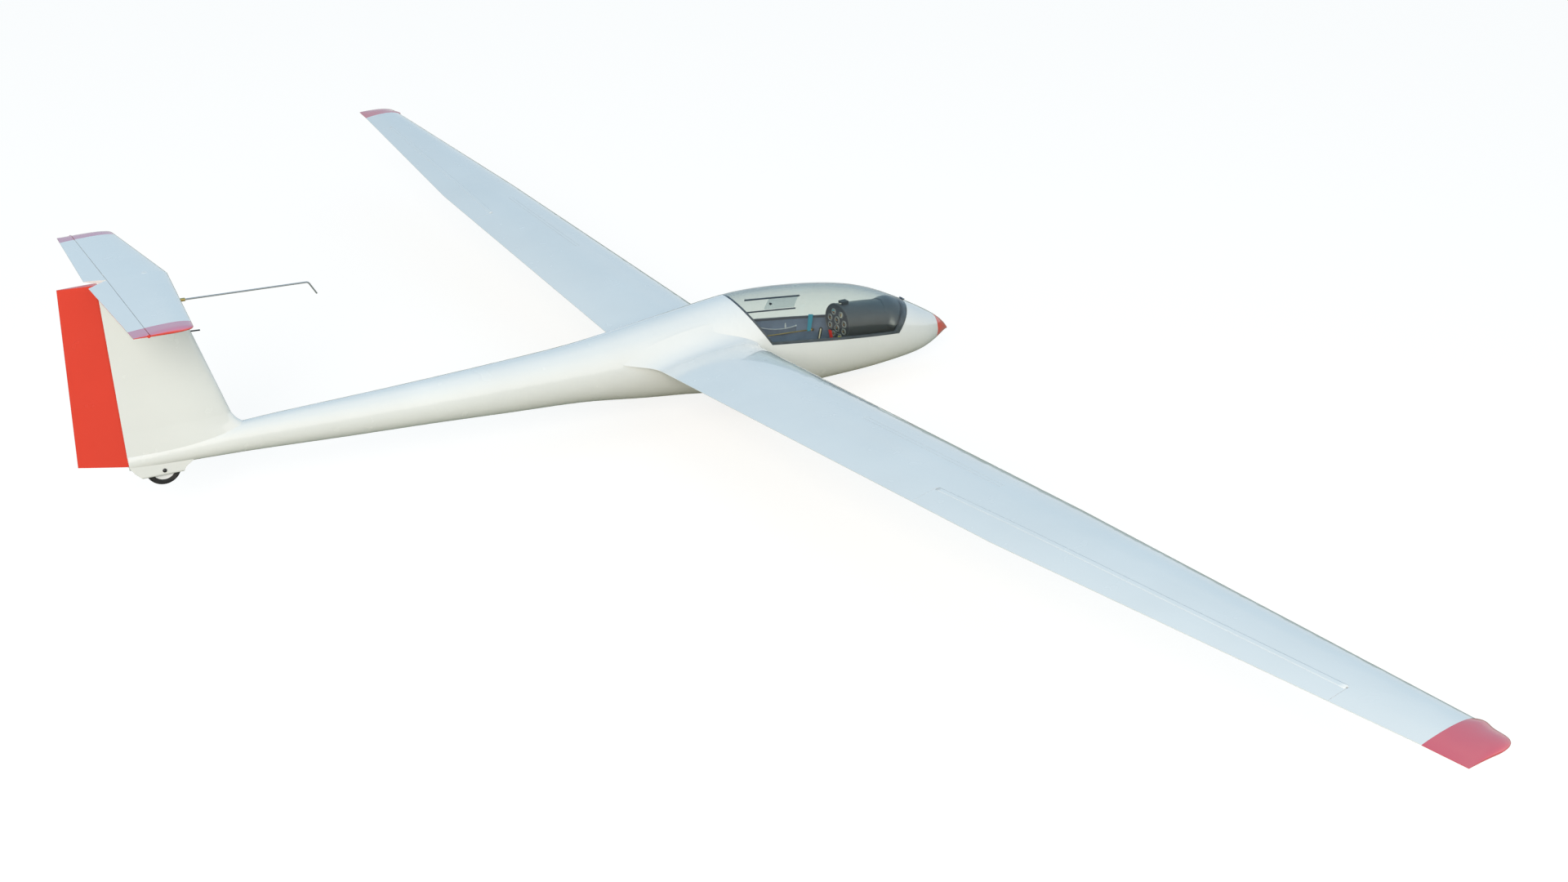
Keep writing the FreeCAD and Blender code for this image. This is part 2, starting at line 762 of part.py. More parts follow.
def add_tailplane():
    """Stabiliser, both elevator halves and what joins them."""
    span = size("tail_half_span") + 1.0
    mean_z = size("tail_height")
    centre, end = tail_profile(0.0), tail_profile(280.0)
    y = size("elevator_hinge_y")
    root_radius, tip_radius = nose_radius(centre, y), nose_radius(end, y)
    line = HingeLine(Vector(0, y, mean_z), Vector(span, y, mean_z), root_radius, tip_radius, Z_AXIS)
    twin = HingeLine(Vector(0, y, mean_z), Vector(-span, y, mean_z), root_radius, tip_radius,
                     Z_AXIS)
    gap = size("hinge_gap")
    width, notch_front = size("notch_half_width"), y - 1.4
    notch_aft = size("tail_trail_centre_y") + 6
    corners = [Vector(0, notch_front, mean_z - 30), Vector(width, notch_aft, mean_z - 30),
               Vector(-width, notch_aft, mean_z - 30), Vector(0, notch_front, mean_z - 30)]
    notch = Part.Face(Part.makePolygon(corners)).extrude(Vector(0, 0, 60))
    lugs, pins, slots = line.hardware((0.12, 0.5, 0.9), 7.0)
    tube_core = rod(Vector(-30, y, mean_z), Vector(30, y, mean_z), 1.4)
    moving = line.split(tail_whole, size("elevator_lip"), gap)[1]
    half = largest(moving.cut([notch, tube_core] + slots))
    whole = tail_whole
    for side in (line, twin):
        whole = side.split(whole, size("elevator_lip"), gap)[0]
    head_z = tail_profile(0.0).point(0.28, 1).z
    head = Part.makeCone(2.0, 3.8, 1.8, Vector(0, 1705, head_z - 1.9))
    shank = rod(Vector(0, 1705, 312), Vector(0, 1705, head_z - 1.0), 2.0)
    bolt = head.fuse([shank, rod(Vector(0, 1705, head_z - 0.2), Vector(0, 1705, 345), 3.8)])
    hollow = loft([tail_profile(x).cavity(0.08, 0.62, 1.2) for x in (14.0, 262.0)])
    both_lugs = lugs + [mirror_shape(lug) for lug in lugs]
    whole = whole.cut([bolt, hollow, mirror_shape(hollow)] + both_lugs)
    feature("stabiliser", largest(whole))
    feature("left_elevator", half)
    mirrored("right_elevator", subparts[-1])
    feature("elevator_torque_tube", tube_core)
    hinge_lugs.extend(both_lugs)
    hinge_pins.extend(pins + [mirror_shape(pin) for pin in pins])
    feature("stabiliser_bolt", head.fuse(shank))


# ---------------------------------------------------------------- wings

def aileron_line():
    ends, radii = [], []
    for which in ("inner", "outer"):
        x, y = size(f"aileron_{which}_x"), size(f"aileron_{which}_y")
        profile = wing_profile(x)
        station = (y - profile.lead.y) / profile.chord
        ends.append(profile.point(station, 0))
        radii.append(profile.half(station))
    return HingeLine(ends[0], ends[1], radii[0], radii[1], Z_AXIS)


def brake_box(width, depth, top, trim=0.0):
    """Box along the airbrake slot, square to the wing's chord plane."""
    inner, outer = size("brake_inner_x") + trim, size("brake_outer_x") - trim
    lean = size("dihedral_inner")
    y = size("brake_y")
    station = (y - wing_profile(inner).lead.y) / wing_profile(inner).chord
    tops = []
    for x in (inner, outer):
        crest = wing_profile(x).point(station, 1)
        tops.append(Vector(x, y, crest.z + top))
    drop = Vector(lean, 0, -1) * (depth + top)
    corners = [tops[0], tops[1], tops[1] + drop, tops[0] + drop, tops[0]]
    face = Part.Face(Part.makePolygon(corners))
    face.translate(Vector(0, -width / 2, 0))
    return face.extrude(Vector(0, width, 0))


def tip_shape():
    """Rounded, slightly raked wing tip."""
    band = size("wing_band_x")
    base_lead, base_trail, base_height, ratio = wing_line(band)
    # beyond the band: distance, lead moved aft, trail moved forward, thickness factor
    rounding = ((0, 0, 0, 1.0), (24, 0.6, 1.0, 0.92), (42, 3.2, 1.8, 0.78), (53, 9.0, 2.3, 0.58),
                (59, 20.0, 2.6, 0.38), (62, 42.0, 2.9, 0.20))
    wires = []
    for out, back, forward, thin in rounding:
        height = base_height + size("dihedral_outer") * out
        lead = Vector(band + out, base_lead + back, height)
        trail = Vector(band + out, base_trail - forward, height)
        chord_growth = (base_trail - base_lead) / (trail.y - lead.y)
        wires.append(Profile(lead, trail, ratio * thin * chord_growth, size("wing_camber")).skin())
    return loft(wires, ruled=False)


def add_wing():
    """Left panel and everything in it; the right panel is its mirror twin."""
    root, brk, band = size("wing_root_x"), size("wing_break_x"), size("wing_band_x")
    wall, gap = size("wing_wall"), size("hinge_gap")
    whole = loft([wing_profile(x).skin() for x in (root, brk, band)])
    line = aileron_line()
    shell, aileron = line.split(whole, size("aileron_lip"), gap)
    front, back = size("cavity_lead"), size("cavity_trail")
    stations = (root + 2.0, brk, band - 2.0)
    hollow = loft([wing_profile(x).cavity(front, back, wall) for x in stations])
    shell = shell.cut(hollow)
    lugs, pins, slots = line.hardware((0.04, 0.35, 0.66, 0.96), 8.0)
    cap_width, box_wall = size("brake_cap_width"), size("brake_box_wall")
    slot = brake_box(cap_width + 2 * gap, 6.0, 3.0)
    sleeve_bore = joiner_arm(1, 0.05)
    sleeve_body = joiner_arm(1, size("sleeve_wall"))
    outboard = block((root, 500, -50), (2000, 900, 200))
    shell = shell.cut([slot, sleeve_body, locating_pins()[1]] + lugs)
    feature("left_wing_shell", largest(shell))
    feature("left_wing_tip", tip_shape())
    feature("left_aileron", largest(aileron.cut(slots)))
    hinge_lugs.extend(lugs + [mirror_shape(lug) for lug in lugs])
    hinge_pins.extend(pins + [mirror_shape(pin) for pin in pins])
    add_pair("joiner_sleeves", sleeve_body.common(outboard).cut(sleeve_bore))
    inside = whole.common(hollow)
    blade = brake_box(size("brake_blade"), size("brake_depth"), 0.0, 2.0)
    skin_strip = whole.cut(hollow).common(brake_box(cap_width, 6.0, 3.0, gap))
    feature("left_airbrake_cap", largest(skin_strip))
    feature("left_airbrake_blade", largest(blade.common(inside)))
    casing = brake_box(cap_width + 1.0, size("brake_depth") + 1.6, 0.0, -box_wall)
    channel = brake_box(size("brake_blade") + 1.2, size("brake_depth") + 0.8, 3.0, 0.6)
    room = brake_box(cap_width + 2.0, 6.0, 3.0, -2 * box_wall)
    add_pair("airbrake_boxes", largest(casing.common(inside).cut([channel, room])))
    spar_ends = []
    for x in (size("joiner_reach") + 6.0, size("spar_end_x")):
        profile = wing_profile(x)
        station = (size("joiner_y") - profile.lead.y) / profile.chord
        low = profile.point(station, -1, wall + 1.0).z
        high = profile.point(station, 1, wall + 1.0).z
        half = size("spar_width") / 2
        corners = [Vector(x, size("joiner_y") + across, z) for across, z in
                   ((-half, low), (half, low), (half, high), (-half, high))]
        spar_ends.append(Part.makePolygon(corners + corners[:1]))
    add_pair("wing_spars", loft(spar_ends))
    for name in ("wing_shell", "wing_tip", "aileron", "airbrake_cap", "airbrake_blade"):
        source = next(part for part in subparts if part.Label == f"left_{name}")
        mirrored(f"right_{name}", source)


def add_pair(label, left):
    """Left and right twins that share one node."""
    feature(label, Part.makeCompound([left, mirror_shape(left)]))


def wing_servo(x, y):
    """Slim servo lying flat in the left panel."""
    profile = wing_profile(x)
    middle = profile.point((y - profile.lead.y) / profile.chord, 0)
    case = block((x - 15, y - 11, middle.z - 5), (x + 15, y + 11, middle.z + 5))
    gear_post = Part.makeCylinder(3.0, 2.0, Vector(x + 8, y, middle.z + 5))
    return case.fuse(gear_post)


# ---------------------------------------------------------------- canopy

def add_canopy():
    """One-piece clear canopy in a slim frame, hinged at the top of its front edge."""
    gap, wall = size("canopy_gap"), size("glass_wall")
    outline = canopy_prism(gap)
    skin = fuselage_body().cut(fuselage_body(wall))
    glass = largest(skin.common(outline))
    depth = wall + size("frame_depth")
    band = fuselage_body(wall).cut(fuselage_body(depth))
    frame = band.common(outline).cut(canopy_prism(gap + size("frame_width")))
    hinge_y, hinge_z = size("canopy_hinge_y"), size("canopy_hinge_z")
    half = size("canopy_hinge_width") / 2
    room = rod(Vector(-half - 0.5, hinge_y, hinge_z), Vector(half + 0.5, hinge_y, hinge_z), 2.3)
    centre = Vector(0, hinge_y, hinge_z)
    reach = half * 0.45
    knuckle = rod(centre - X_AXIS * reach, centre + X_AXIS * reach, 1.8)
    leaf = block((-reach, hinge_y, hinge_z - 1.6), (reach, hinge_y + 7, hinge_z - 0.4))
    bore = rod(centre - X_AXIS * half, centre + X_AXIS * half,
               size("pin_radius") + size("pin_clearance"))
    frame = frame.cut(room).fuse(knuckle.fuse(leaf)).cut(bore)
    glass = glass.cut(room).cut(leaf)
    feature("canopy_glass", largest(glass))
    feature("canopy_frame", largest(frame))
    pin = rod(centre - X_AXIS * half, centre + X_AXIS * half, size("pin_radius"))
    outer_knuckles = []
    for side in (-1, 1):
        inner_x, outer_x = side * (reach + 0.3), side * half
        sleeve = rod(Vector(inner_x, hinge_y, hinge_z), Vector(outer_x, hinge_y, hinge_z), 1.8)
        foot = block((min(inner_x, outer_x), hinge_y - 6, hinge_z - 4.6),
                     (max(inner_x, outer_x), hinge_y, hinge_z - 1.0))
        outer_knuckles.append(sleeve.fuse(foot.common(fuselage_body(0.0))).cut(pin))
    feature("canopy_hinge", Part.makeCompound(outer_knuckles + [pin]))


def vent_outline(points, inner, outer):
    """Piece that lies parallel to the glass on the left side, between two depths."""
    layer = fuselage_body(inner).cut(fuselage_body(outer))
    piece = layer.common(side_prism(points)).common(block((5, 0, -50), (200, 700, 200)))
    return largest(piece)


def add_vent():
    """Sliding side window: a pane with a knob, held between two rails."""
    start = size("glass_wall") + 0.9
    pane = vent_outline([(367, 18.2), (444, 25.6), (438, 51.2), (363.5, 43.8)], start,
                        start + size("vent_pane"))
    knob_y, knob_z = 432.0, 38.5
    ray = rod(Vector(40, knob_y, knob_z), Vector(90, knob_y, knob_z), 2.6)
    knob = ray.common(fuselage_body(start + size("vent_pane")).cut(
        fuselage_body(start + size("vent_pane") + 4.0)))
    upper = [(361, 44.3), (500, 58.1), (500, 61.7), (361, 47.9)]
    lower = [(363, 12.6), (493, 25.1), (493, 27.9), (363, 15.4)]
    rails = [vent_outline(points, size("glass_wall"), start + 1.8) for points in (upper, lower)]
    feature("vent_pane", pane)
    feature("vent_knob", largest(knob))
    feature("vent_rails", Part.makeCompound(rails))


# ---------------------------------------------------------------- cockpit

def panel_ring(y, z, half_width, half_height, inset):
    return ring(y, z, half_width - inset, half_height - inset)


def shroud_body(inset):
    width, height = size("panel_half_width"), size("panel_half_height")
    y, z = size("panel_y"), size("panel_z")
    rings = [panel_ring(y, z, width, height, inset), panel_ring(y - 77, z - 5, width, height, inset),
             panel_ring(y - 164, z - 15, width, height - 1, inset)]
    return loft(rings, ruled=False)


GAUGES = ((-14, 20, 1.0), (14, 20, 1.0), (-27, 3, 1.1), (0, 4, 1.25), (27, 3, 1.1),
          (-26, -14, 1.0), (0, -14, 1.15), (26, -14, 1.0), (-12, -30, 0.9), (12, -30, 0.9))


def add_panel():
    """Egg-shaped instrument panel with its gauges, shroud and compass."""
    y, z = size("panel_y"), size("panel_z")
    inset = size("shroud_wall")
    plate = Part.Face(panel_ring(y, z, size("panel_half_width"), size("panel_half_height"),
                                 inset + 0.35)).extrude(Vector(0, -size("panel_plate"), 0))
    dials = []
    for across, up, scale in GAUGES:
        centre = Vector(across, y + 0.8, z + up)
        back = centre - Y_AXIS * 14
        dials.append(rod(back, centre, size("gauge_radius") * scale))
    feature("instrument_panel", plate.cut(dials))
    feature("instrument_gauges", Part.makeCompound(dials))
    hood = shroud_body(0.0).cut(shroud_body(inset))
    clear = fuselage_body(size("glass_wall") + size("frame_depth") + 1.6)
    shroud = feature("panel_shroud", largest(hood.common(clear)))
    box = primitive("Box", "CompassBody", ("-7", "279", "32.5"), Length="14", Width="17",
                    Height="8")
    ball = primitive("Sphere", "CompassGlass", ("0", "295", "36.5"), Radius="4.6")
    body = combine("Fuse", "CompassBodyAndGlass", box, ball)
    finish_part(combine("Cut", "Compass", body, shroud), "compass")


def add_controls():
    """Stick, airbrake lever on its rod, trim lever and release knob."""
    grip = size("grip_radius")
    grip_points = [("-36", "0"), ("-36", "Dims.grip_radius * 0.8"), ("-8", "Dims.grip_radius"),
                   ("-3", "Dims.grip_radius * 1.15"), ("0", "Dims.grip_radius * 0.5"), ("0", "0")]
    handle = turned("stick_grip", ("0", "Dims.stick_y - 7.3", "-10"), grip_points)
    handle.Placement.Rotation = Rotation(Y_AXIS, -90).multiply(Rotation(Z_AXIS, -11))
    base = Vector(0, size("stick_y") + 7, size("stick_pivot_z"))
    foot = Vector(0, size("stick_y") - 0.6, -45)
    stem = rod(base, foot, size("stick_radius"))
    barrel = rod(base - X_AXIS * 6, base + X_AXIS * 6, 3.6)
    bore = rod(base - X_AXIS * 12, base + X_AXIS * 12, 1.55)
    doc.recompute()
    grip_shape = handle.Shape.translated(DATUM.negative())
    feature("control_stick", stem.fuse(barrel).cut([bore, grip_shape]))
    fork = block((-10, base.y - 4, base.z - 10.2), (10, base.y + 4, base.z + 4))
    fork = fork.cut(block((-6.4, base.y - 6, base.z - 6), (6.4, base.y + 6, base.z + 6)))
    axle = rod(base - X_AXIS * 11, base + X_AXIS * 11, 1.5)
    feature("stick_fork", fork.fuse(axle))

    x, y = size("lever_x"), size("lever_y")
    rail_foot, rod_stop = Vector(x, y - 26, -39.0), Vector(x - 2, y + 118, -30.0)
    slope = (rod_stop - rail_foot).normalize()
    hub_centre = rail_foot + slope * 26
    hub_to_end = 10.0
    rod_start = hub_centre - slope * hub_to_end
    track = rod(rod_start, rod_stop, size("lever_rod_radius"))
    hub = rod(hub_centre - slope * 4, hub_centre + slope * 4, 3.0)
    hub_bore = rod(hub_centre - slope * 5, hub_centre + slope * 5, size("lever_rod_radius") + 0.1)
    paddle = side_prism([(y - 4.5, -34.5), (y + 4.0, -34.5), (y + 1.0, -0.5), (y - 9.5, -2.5)],
                        1.6, x - 1.5)
    feature("airbrake_lever", paddle.fuse(hub).cut(hub_bore))
    ends = [block((x - 3.5, point.y - 2, point.z - 3), (x + 3.5, point.y + 2, point.z + 3))
            for point in (rod_start, rod_stop)]
    feature("lever_track", track.fuse(ends))

    trim = side_prism([(326, -46), (332, -46), (341, -9), (334, -11)], 1.8, -24.0)
    feature("trim_lever", trim.fuse(rod(Vector(-29, 329, -46), Vector(-19, 329, -46), 3.2)))
    knob_points = [("-6", "0"), ("-6", "2.2"), ("-1", "4.2"), ("2", "4.2"), ("3.5", "2.6"),
                   ("3.5", "0")]
    knob = turned("release_knob", ("-27", "314", "-32"), knob_points)
    knob.Placement.Rotation = Rotation(Z_AXIS, 90)


def liner_region(low_y, high_y, drop):
    """Cockpit space below the sill between two stations."""
    return side_prism([(low_y, sill_z(low_y) - drop), (high_y, sill_z(high_y) - drop),
                       (high_y, -200), (low_y, -200)])


def add_cockpit():
    """Lining, seat pan and bulkhead."""
    wall = size("shell_wall") + 0.1
    liner = fuselage_body(wall).cut(fuselage_body(wall + size("liner_wall")))
    liner = liner.common(liner_region(150, 462, 1.0)).cut(tow_hook)
    feature("cockpit_liner", largest(liner))
    room = fuselage_body(wall + size("liner_wall") + 0.1)
    seat = side_prism([(318, -92), (398, -98), (442, -74), (512, 0), (513.6, -1.4), (444, -76.4),
                       (399, -100.5), (318, -94.5)])
    feature("seat_pan", largest(seat.common(room)))
    frame = fuselage_inner_plate(600.0, 604.0)
    hole = rod(Vector(0, 590, 20), Vector(0, 620, 20), 34.0)
    feature("main_bulkhead", largest(frame.cut(hole)))


def fuselage_inner_plate(low_y, high_y):
    return fuselage_body(size("shell_wall") + 0.05).common(
        block((-200, low_y, -200), (200, high_y, 300)))


# ---------------------------------------------------------------- wheels

def wheel_well():
    """Open box that closes the wheel bay off from the inside of the fuselage."""
    wall = size("well_wall")
    low, high = Vector(*WELL_LOW), Vector(*WELL_HIGH)
    outside = block((low.x - wall, low.y - wall, low.z), (high.x + wall, high.y + wall,
                                                         high.z + wall))
    shell = outside.cut(block(WELL_LOW, WELL_HIGH))
    return shell.common(fuselage_body(size("shell_wall") + 0.1))


def add_wheels():
    """Main wheel, tail wheel, their axles and the main wheel's bracket."""
    tyre = [("-Dims.main_tyre_half * 0.7", "Dims.main_rim_radius"),
            ("-Dims.main_tyre_half", "Dims.main_rim_radius + 6"),
            ("-Dims.main_tyre_half", "Dims.main_wheel_radius - 8"),
            ("-Dims.main_tyre_half * 0.5", "Dims.main_wheel_radius"),
            ("Dims.main_tyre_half * 0.5", "Dims.main_wheel_radius"),
            ("Dims.main_tyre_half", "Dims.main_wheel_radius - 8"),
            ("Dims.main_tyre_half", "Dims.main_rim_radius + 6"),
            ("Dims.main_tyre_half * 0.7", "Dims.main_rim_radius")]
    main_place = ("0", "Dims.main_wheel_y", "Dims.main_axle_z")
    turned("main_tyre", main_place, tyre)
    bore = "Dims.main_axle_radius + 0.08"
    hub = [("-11", bore), ("-11", "Dims.main_axle_radius + 5"), ("-3", "Dims.main_axle_radius + 6"),
           ("-3", "Dims.main_rim_radius - 5"), ("-9.1", "Dims.main_rim_radius"),
           ("9.1", "Dims.main_rim_radius"), ("3", "Dims.main_rim_radius - 5"),
           ("3", "Dims.main_axle_radius + 6"), ("11", "Dims.main_axle_radius + 5"), ("11", bore)]
    turned("main_hub", main_place, hub)
    main_axle = primitive("Cylinder", "MainAxle", ("-Dims.well_half_width", "Dims.main_wheel_y",
                                                   "Dims.main_axle_z"), (Y_AXIS, 90),
                          Radius="Dims.main_axle_radius", Height="Dims.well_half_width * 2")
    y, z = size("main_wheel_y"), size("main_axle_z")
    plates = []
    for side in (-1, 1):
        inner, outer = side * 15.0, side * 17.5
        low, high = min(inner, outer), max(inner, outer)
        plate = block((low, y - 9, z - 8), (high, y + 9, -54))
        lean = rod(Vector(side * 15, y, z), Vector(side * 17.5, y, z), 11.0)
        foot = block((min(side * 15, side * 18.8), y - 16, -54), (max(side * 15, side * 18.8),
                                                                 y + 16, -51))
        plates.append(plate.fuse([lean, foot]))
    axle_space = rod(Vector(-20, y, z), Vector(20, y, z), size("main_axle_radius"))
    feature("wheel_bracket", Part.makeCompound(plates).cut(axle_space))
    well = wheel_well().cut(axle_space)
    feature("wheel_well", largest(well))

    tail_tyre = [("-Dims.tail_tyre_half * 0.7", "Dims.tail_rim_radius"),
                 ("-Dims.tail_tyre_half", "Dims.tail_rim_radius + 3"),
                 ("-Dims.tail_tyre_half", "Dims.tail_wheel_radius - 4"),
                 ("-Dims.tail_tyre_half * 0.5", "Dims.tail_wheel_radius"),
                 ("Dims.tail_tyre_half * 0.5", "Dims.tail_wheel_radius"),
                 ("Dims.tail_tyre_half", "Dims.tail_wheel_radius - 4"),
                 ("Dims.tail_tyre_half", "Dims.tail_rim_radius + 3"),
                 ("Dims.tail_tyre_half * 0.7", "Dims.tail_rim_radius")]
    tail_place = ("0", "Dims.tail_wheel_y", "Dims.tail_axle_z")
    turned("tail_tyre", tail_place, tail_tyre)
    tail_bore = "Dims.tail_axle_radius + 0.06"
    tail_hub = [("-6.8", tail_bore), ("-6.8", "5"), ("-2.5", "6"), ("-2.5", "11.5"),
                ("-4.55", "Dims.tail_rim_radius"), ("4.55", "Dims.tail_rim_radius"),
                ("2.5", "11.5"), ("2.5", "6"), ("6.8", "5"), ("6.8", tail_bore)]
    turned("tail_hub", tail_place, tail_hub)
    tail_axle = primitive("Cylinder", "TailAxle", ("-Dims.tail_fairing_half - 1.5",
                                                   "Dims.tail_wheel_y", "Dims.tail_axle_z"),
                          (Y_AXIS, 90), Radius="Dims.tail_axle_radius",
                          Height="Dims.tail_fairing_half * 2 + 3")
    axles = doc.addObject("Part::Compound", "Axles")
    axles.Links = [main_axle, tail_axle]
    finish_part(axles, "wheel_axles")


# ---------------------------------------------------------------- fittings and equipment

def add_tow_hook():
    """Hook plate under the belly, ahead of the main wheel, with an eye for the tow ring."""
    plate = side_plate("tow_hook_plate", ("0", "440", "-121"),
                       [("-14", "3.4"), ("-14", "-2"), ("-7", "-8"), ("0", "-12"), ("6", "-10"),
                        ("9", "-4"), ("14", "-1.2"), ("14", "3.4")], "3")
    eye = primitive("Cylinder", "TowEye", ("-4", "440.5", "-128"), (Y_AXIS, 90),
                    Radius="Dims.tow_eye_radius", Height="8")
    hook = finish_part(combine("Cut", "TowHook", plate, eye), "tow_hook")
    doc.recompute()
    return hook.Shape.translated(DATUM.negative())


def probe_point(y):
    """Point on the straight run of the total-energy probe."""
    return Vector(0, y, 278.0 + 0.0227 * (y - 1435))


def pitot_point(y):
    return Vector(0, y, 224.4 + 0.0447 * (y - 1628.6))


def bent_probe(radius):
    """Total-energy probe: a long straight run, a tight bend and the sensing tip."""
    root, corner, tip = probe_point(1660), probe_point(1435), Vector(0, 1421.6, 254.7)
    bend = 7.0
    first = (root - corner).normalize()
    second = (tip - corner).normalize()
    setback = bend / math.tan(first.getAngle(second) / 2)
    start, stop = corner + first * setback, corner + second * setback
    middle_way = (first + second).normalize()
    centre = corner + middle_way * math.hypot(setback, bend)
    middle = centre - middle_way * bend
    path = Part.Wire([Part.makeLine(root, start), Part.Arc(start, middle, stop).toShape(),
                      Part.makeLine(stop, tip)])
    section = Part.Wire([Part.Circle(root, first, radius).toShape()])
    return path.makePipeShell([section], True, False)


def add_hinge_hardware():
    feature("hinge_lugs", Part.makeCompound(hinge_lugs))
    feature("hinge_pins", Part.makeCompound(hinge_pins))


def add_fittings():
    """Probes on the fin, tow hook under the belly, joiner and locating pins."""
    feature("te_probe", bent_probe(size("probe_radius")))
    socket = rod(probe_point(1646), probe_point(1668), 3.0)
    bore = rod(probe_point(1640), probe_point(1660), size("probe_radius"))
    feature("probe_socket", socket.cut(bore))
    feature("pitot_tube", tube(pitot_point(1628.6), pitot_point(1651), size("pitot_radius"), 0.6))
    feature("wing_joiner", joiner_arm(-1, 0.0).fuse(joiner_arm(1, 0.0)))
    feature("wing_locating_pins", Part.makeCompound(locating_pins()))


def upright_servo(x, y, z):
    """Mini servo standing on its end: a case, two mounting ears and the output post."""
    case = block((x - 6, y - 12, z), (x + 6, y + 12, z + 22))
    ears = block((x - 6, y - 17, z + 15), (x + 6, y + 17, z + 17))
    post = Part.makeCylinder(3.0, 3.0, Vector(x, y + 5, z + 22))
    return case.fuse([ears, post])


def add_equipment():
    """Radio equipment that the model carries."""
    tray = primitive("Box", "EquipmentTray", ("-40", "234", "-84"), None, Length="80",
                     Width="64", Height="2")
    finish_part(tray, "equipment_tray")
    pack = primitive("Box", "BatteryPack", ("-19", "92", "-84"), None, Length="38", Width="70",
                     Height="20")
    finish_part(pack, "flight_battery")
    receiver = primitive("Box", "ReceiverBox", ("-30", "244", "-82"), None, Length="28",
                         Width="46", Height="14")
    finish_part(receiver, "receiver")
    wing_units = [wing_servo(480.0, 687.0), wing_servo(1000.0, 687.0)]
    units = wing_units + [mirror_shape(unit) for unit in wing_units]
    feature("servos", Part.makeCompound(units + [upright_servo(22.0, 264.0, -82.0),
                                                 upright_servo(0.0, 1712.0, 230.0)]))


tow_hook = add_tow_hook()
add_canopy()
add_fuselage()
add_vent()
add_panel()
add_controls()
add_cockpit()
add_wing()
add_tailplane()
add_rudder()
add_wheels()
add_hinge_hardware()
add_fittings()
add_equipment()

doc.recompute()
for item in doc.Objects:
    if "Invalid" in item.State or "Error" in item.State:
        raise RuntimeError(f"{item.Label} did not compute: {item.State}")
for item in subparts:
    if item.Shape.isNull() or not item.Shape.isValid():
        raise RuntimeError(f"{item.Label} has no valid shape")
for item in subparts:
    item.Shape.exportStep(f"parts/{item.Label}.step")
print(len(subparts), "sub-parts written")
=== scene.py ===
import json
import math

import bmesh
import bpy
from mathutils import Matrix, Vector
from mathutils.bvhtree import BVHTree


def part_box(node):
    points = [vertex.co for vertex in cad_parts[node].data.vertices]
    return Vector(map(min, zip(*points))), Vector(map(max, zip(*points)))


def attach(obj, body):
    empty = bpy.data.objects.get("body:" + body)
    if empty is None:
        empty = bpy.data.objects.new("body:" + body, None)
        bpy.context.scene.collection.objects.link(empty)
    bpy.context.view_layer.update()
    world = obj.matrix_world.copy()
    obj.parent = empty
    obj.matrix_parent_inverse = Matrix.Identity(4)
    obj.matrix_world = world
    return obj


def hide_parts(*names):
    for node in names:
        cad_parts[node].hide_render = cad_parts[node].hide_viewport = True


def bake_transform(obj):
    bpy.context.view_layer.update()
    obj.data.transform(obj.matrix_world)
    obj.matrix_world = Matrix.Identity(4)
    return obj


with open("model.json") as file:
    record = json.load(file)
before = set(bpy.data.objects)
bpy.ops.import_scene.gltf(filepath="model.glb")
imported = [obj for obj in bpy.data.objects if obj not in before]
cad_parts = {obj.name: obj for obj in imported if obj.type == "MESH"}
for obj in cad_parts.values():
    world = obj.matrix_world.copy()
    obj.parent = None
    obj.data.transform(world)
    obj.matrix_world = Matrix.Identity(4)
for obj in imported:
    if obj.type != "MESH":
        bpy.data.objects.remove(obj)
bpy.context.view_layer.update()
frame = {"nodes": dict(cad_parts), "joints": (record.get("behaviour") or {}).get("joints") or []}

# Model sailplane.  The row frame has its origin on the ground under the middle of the model,
# nose towards -Y, left wing towards +X.  Small fittings are placed in the design frame, in
# millimetres from the nose tip, and place() turns that into row-frame metres.

NODES = frame["nodes"]
MM = 0.001
NOSE_TO_ORIGIN = 929.0
GROUND_DROP = 152.0


def place(x, y, z):
    """Row-frame position of a point of the design frame."""
    return Vector((x, y - NOSE_TO_ORIGIN, z + GROUND_DROP)) * MM


# ---------------------------------------------------------------- node materials

# socket numbers of a Mix node set to colours
MIX_FACTOR, MIX_FIRST, MIX_SECOND, MIX_RESULT = 0, 6, 7, 2


class Nodes:
    """Short calls that add nodes to a tree; a value can be a number or another node's output."""

    def __init__(self, tree):
        self.tree = tree

    def set(self, node, socket, value):
        target = node.inputs[socket]
        if hasattr(value, "is_linked"):
            self.tree.links.new(value, target)
        else:
            target.default_value = value

    def node(self, kind, **values):
        """New node, with each value set on the input of that name or else as a property."""
        made = self.tree.nodes.new("ShaderNode" + kind)
        for name, value in values.items():
            if name in made.inputs:
                self.set(made, name, value)
            else:
                setattr(made, name, value)
        return made

    def math(self, operation, first, second=0.0, third=0.0):
        made = self.node("Math", operation=operation)
        for index, value in enumerate((first, second, third)):
            self.set(made, index, value)
        return made.outputs[0]

    def spread(self, source, low, high, start=0.3, end=0.7, curve="LINEAR"):
        """source remapped from start..end to low..high."""
        return self.node("MapRange", Value=source, interpolation_type=curve,
                         **{"From Min": start, "From Max": end,
                            "To Min": low, "To Max": high}).outputs[0]

    def mix(self, factor, first, second):
        made = self.node("Mix", data_type="RGBA")
        for index, value in ((MIX_FACTOR, factor), (MIX_FIRST, first), (MIX_SECOND, second)):
            self.set(made, index, value)
        return made.outputs[MIX_RESULT]


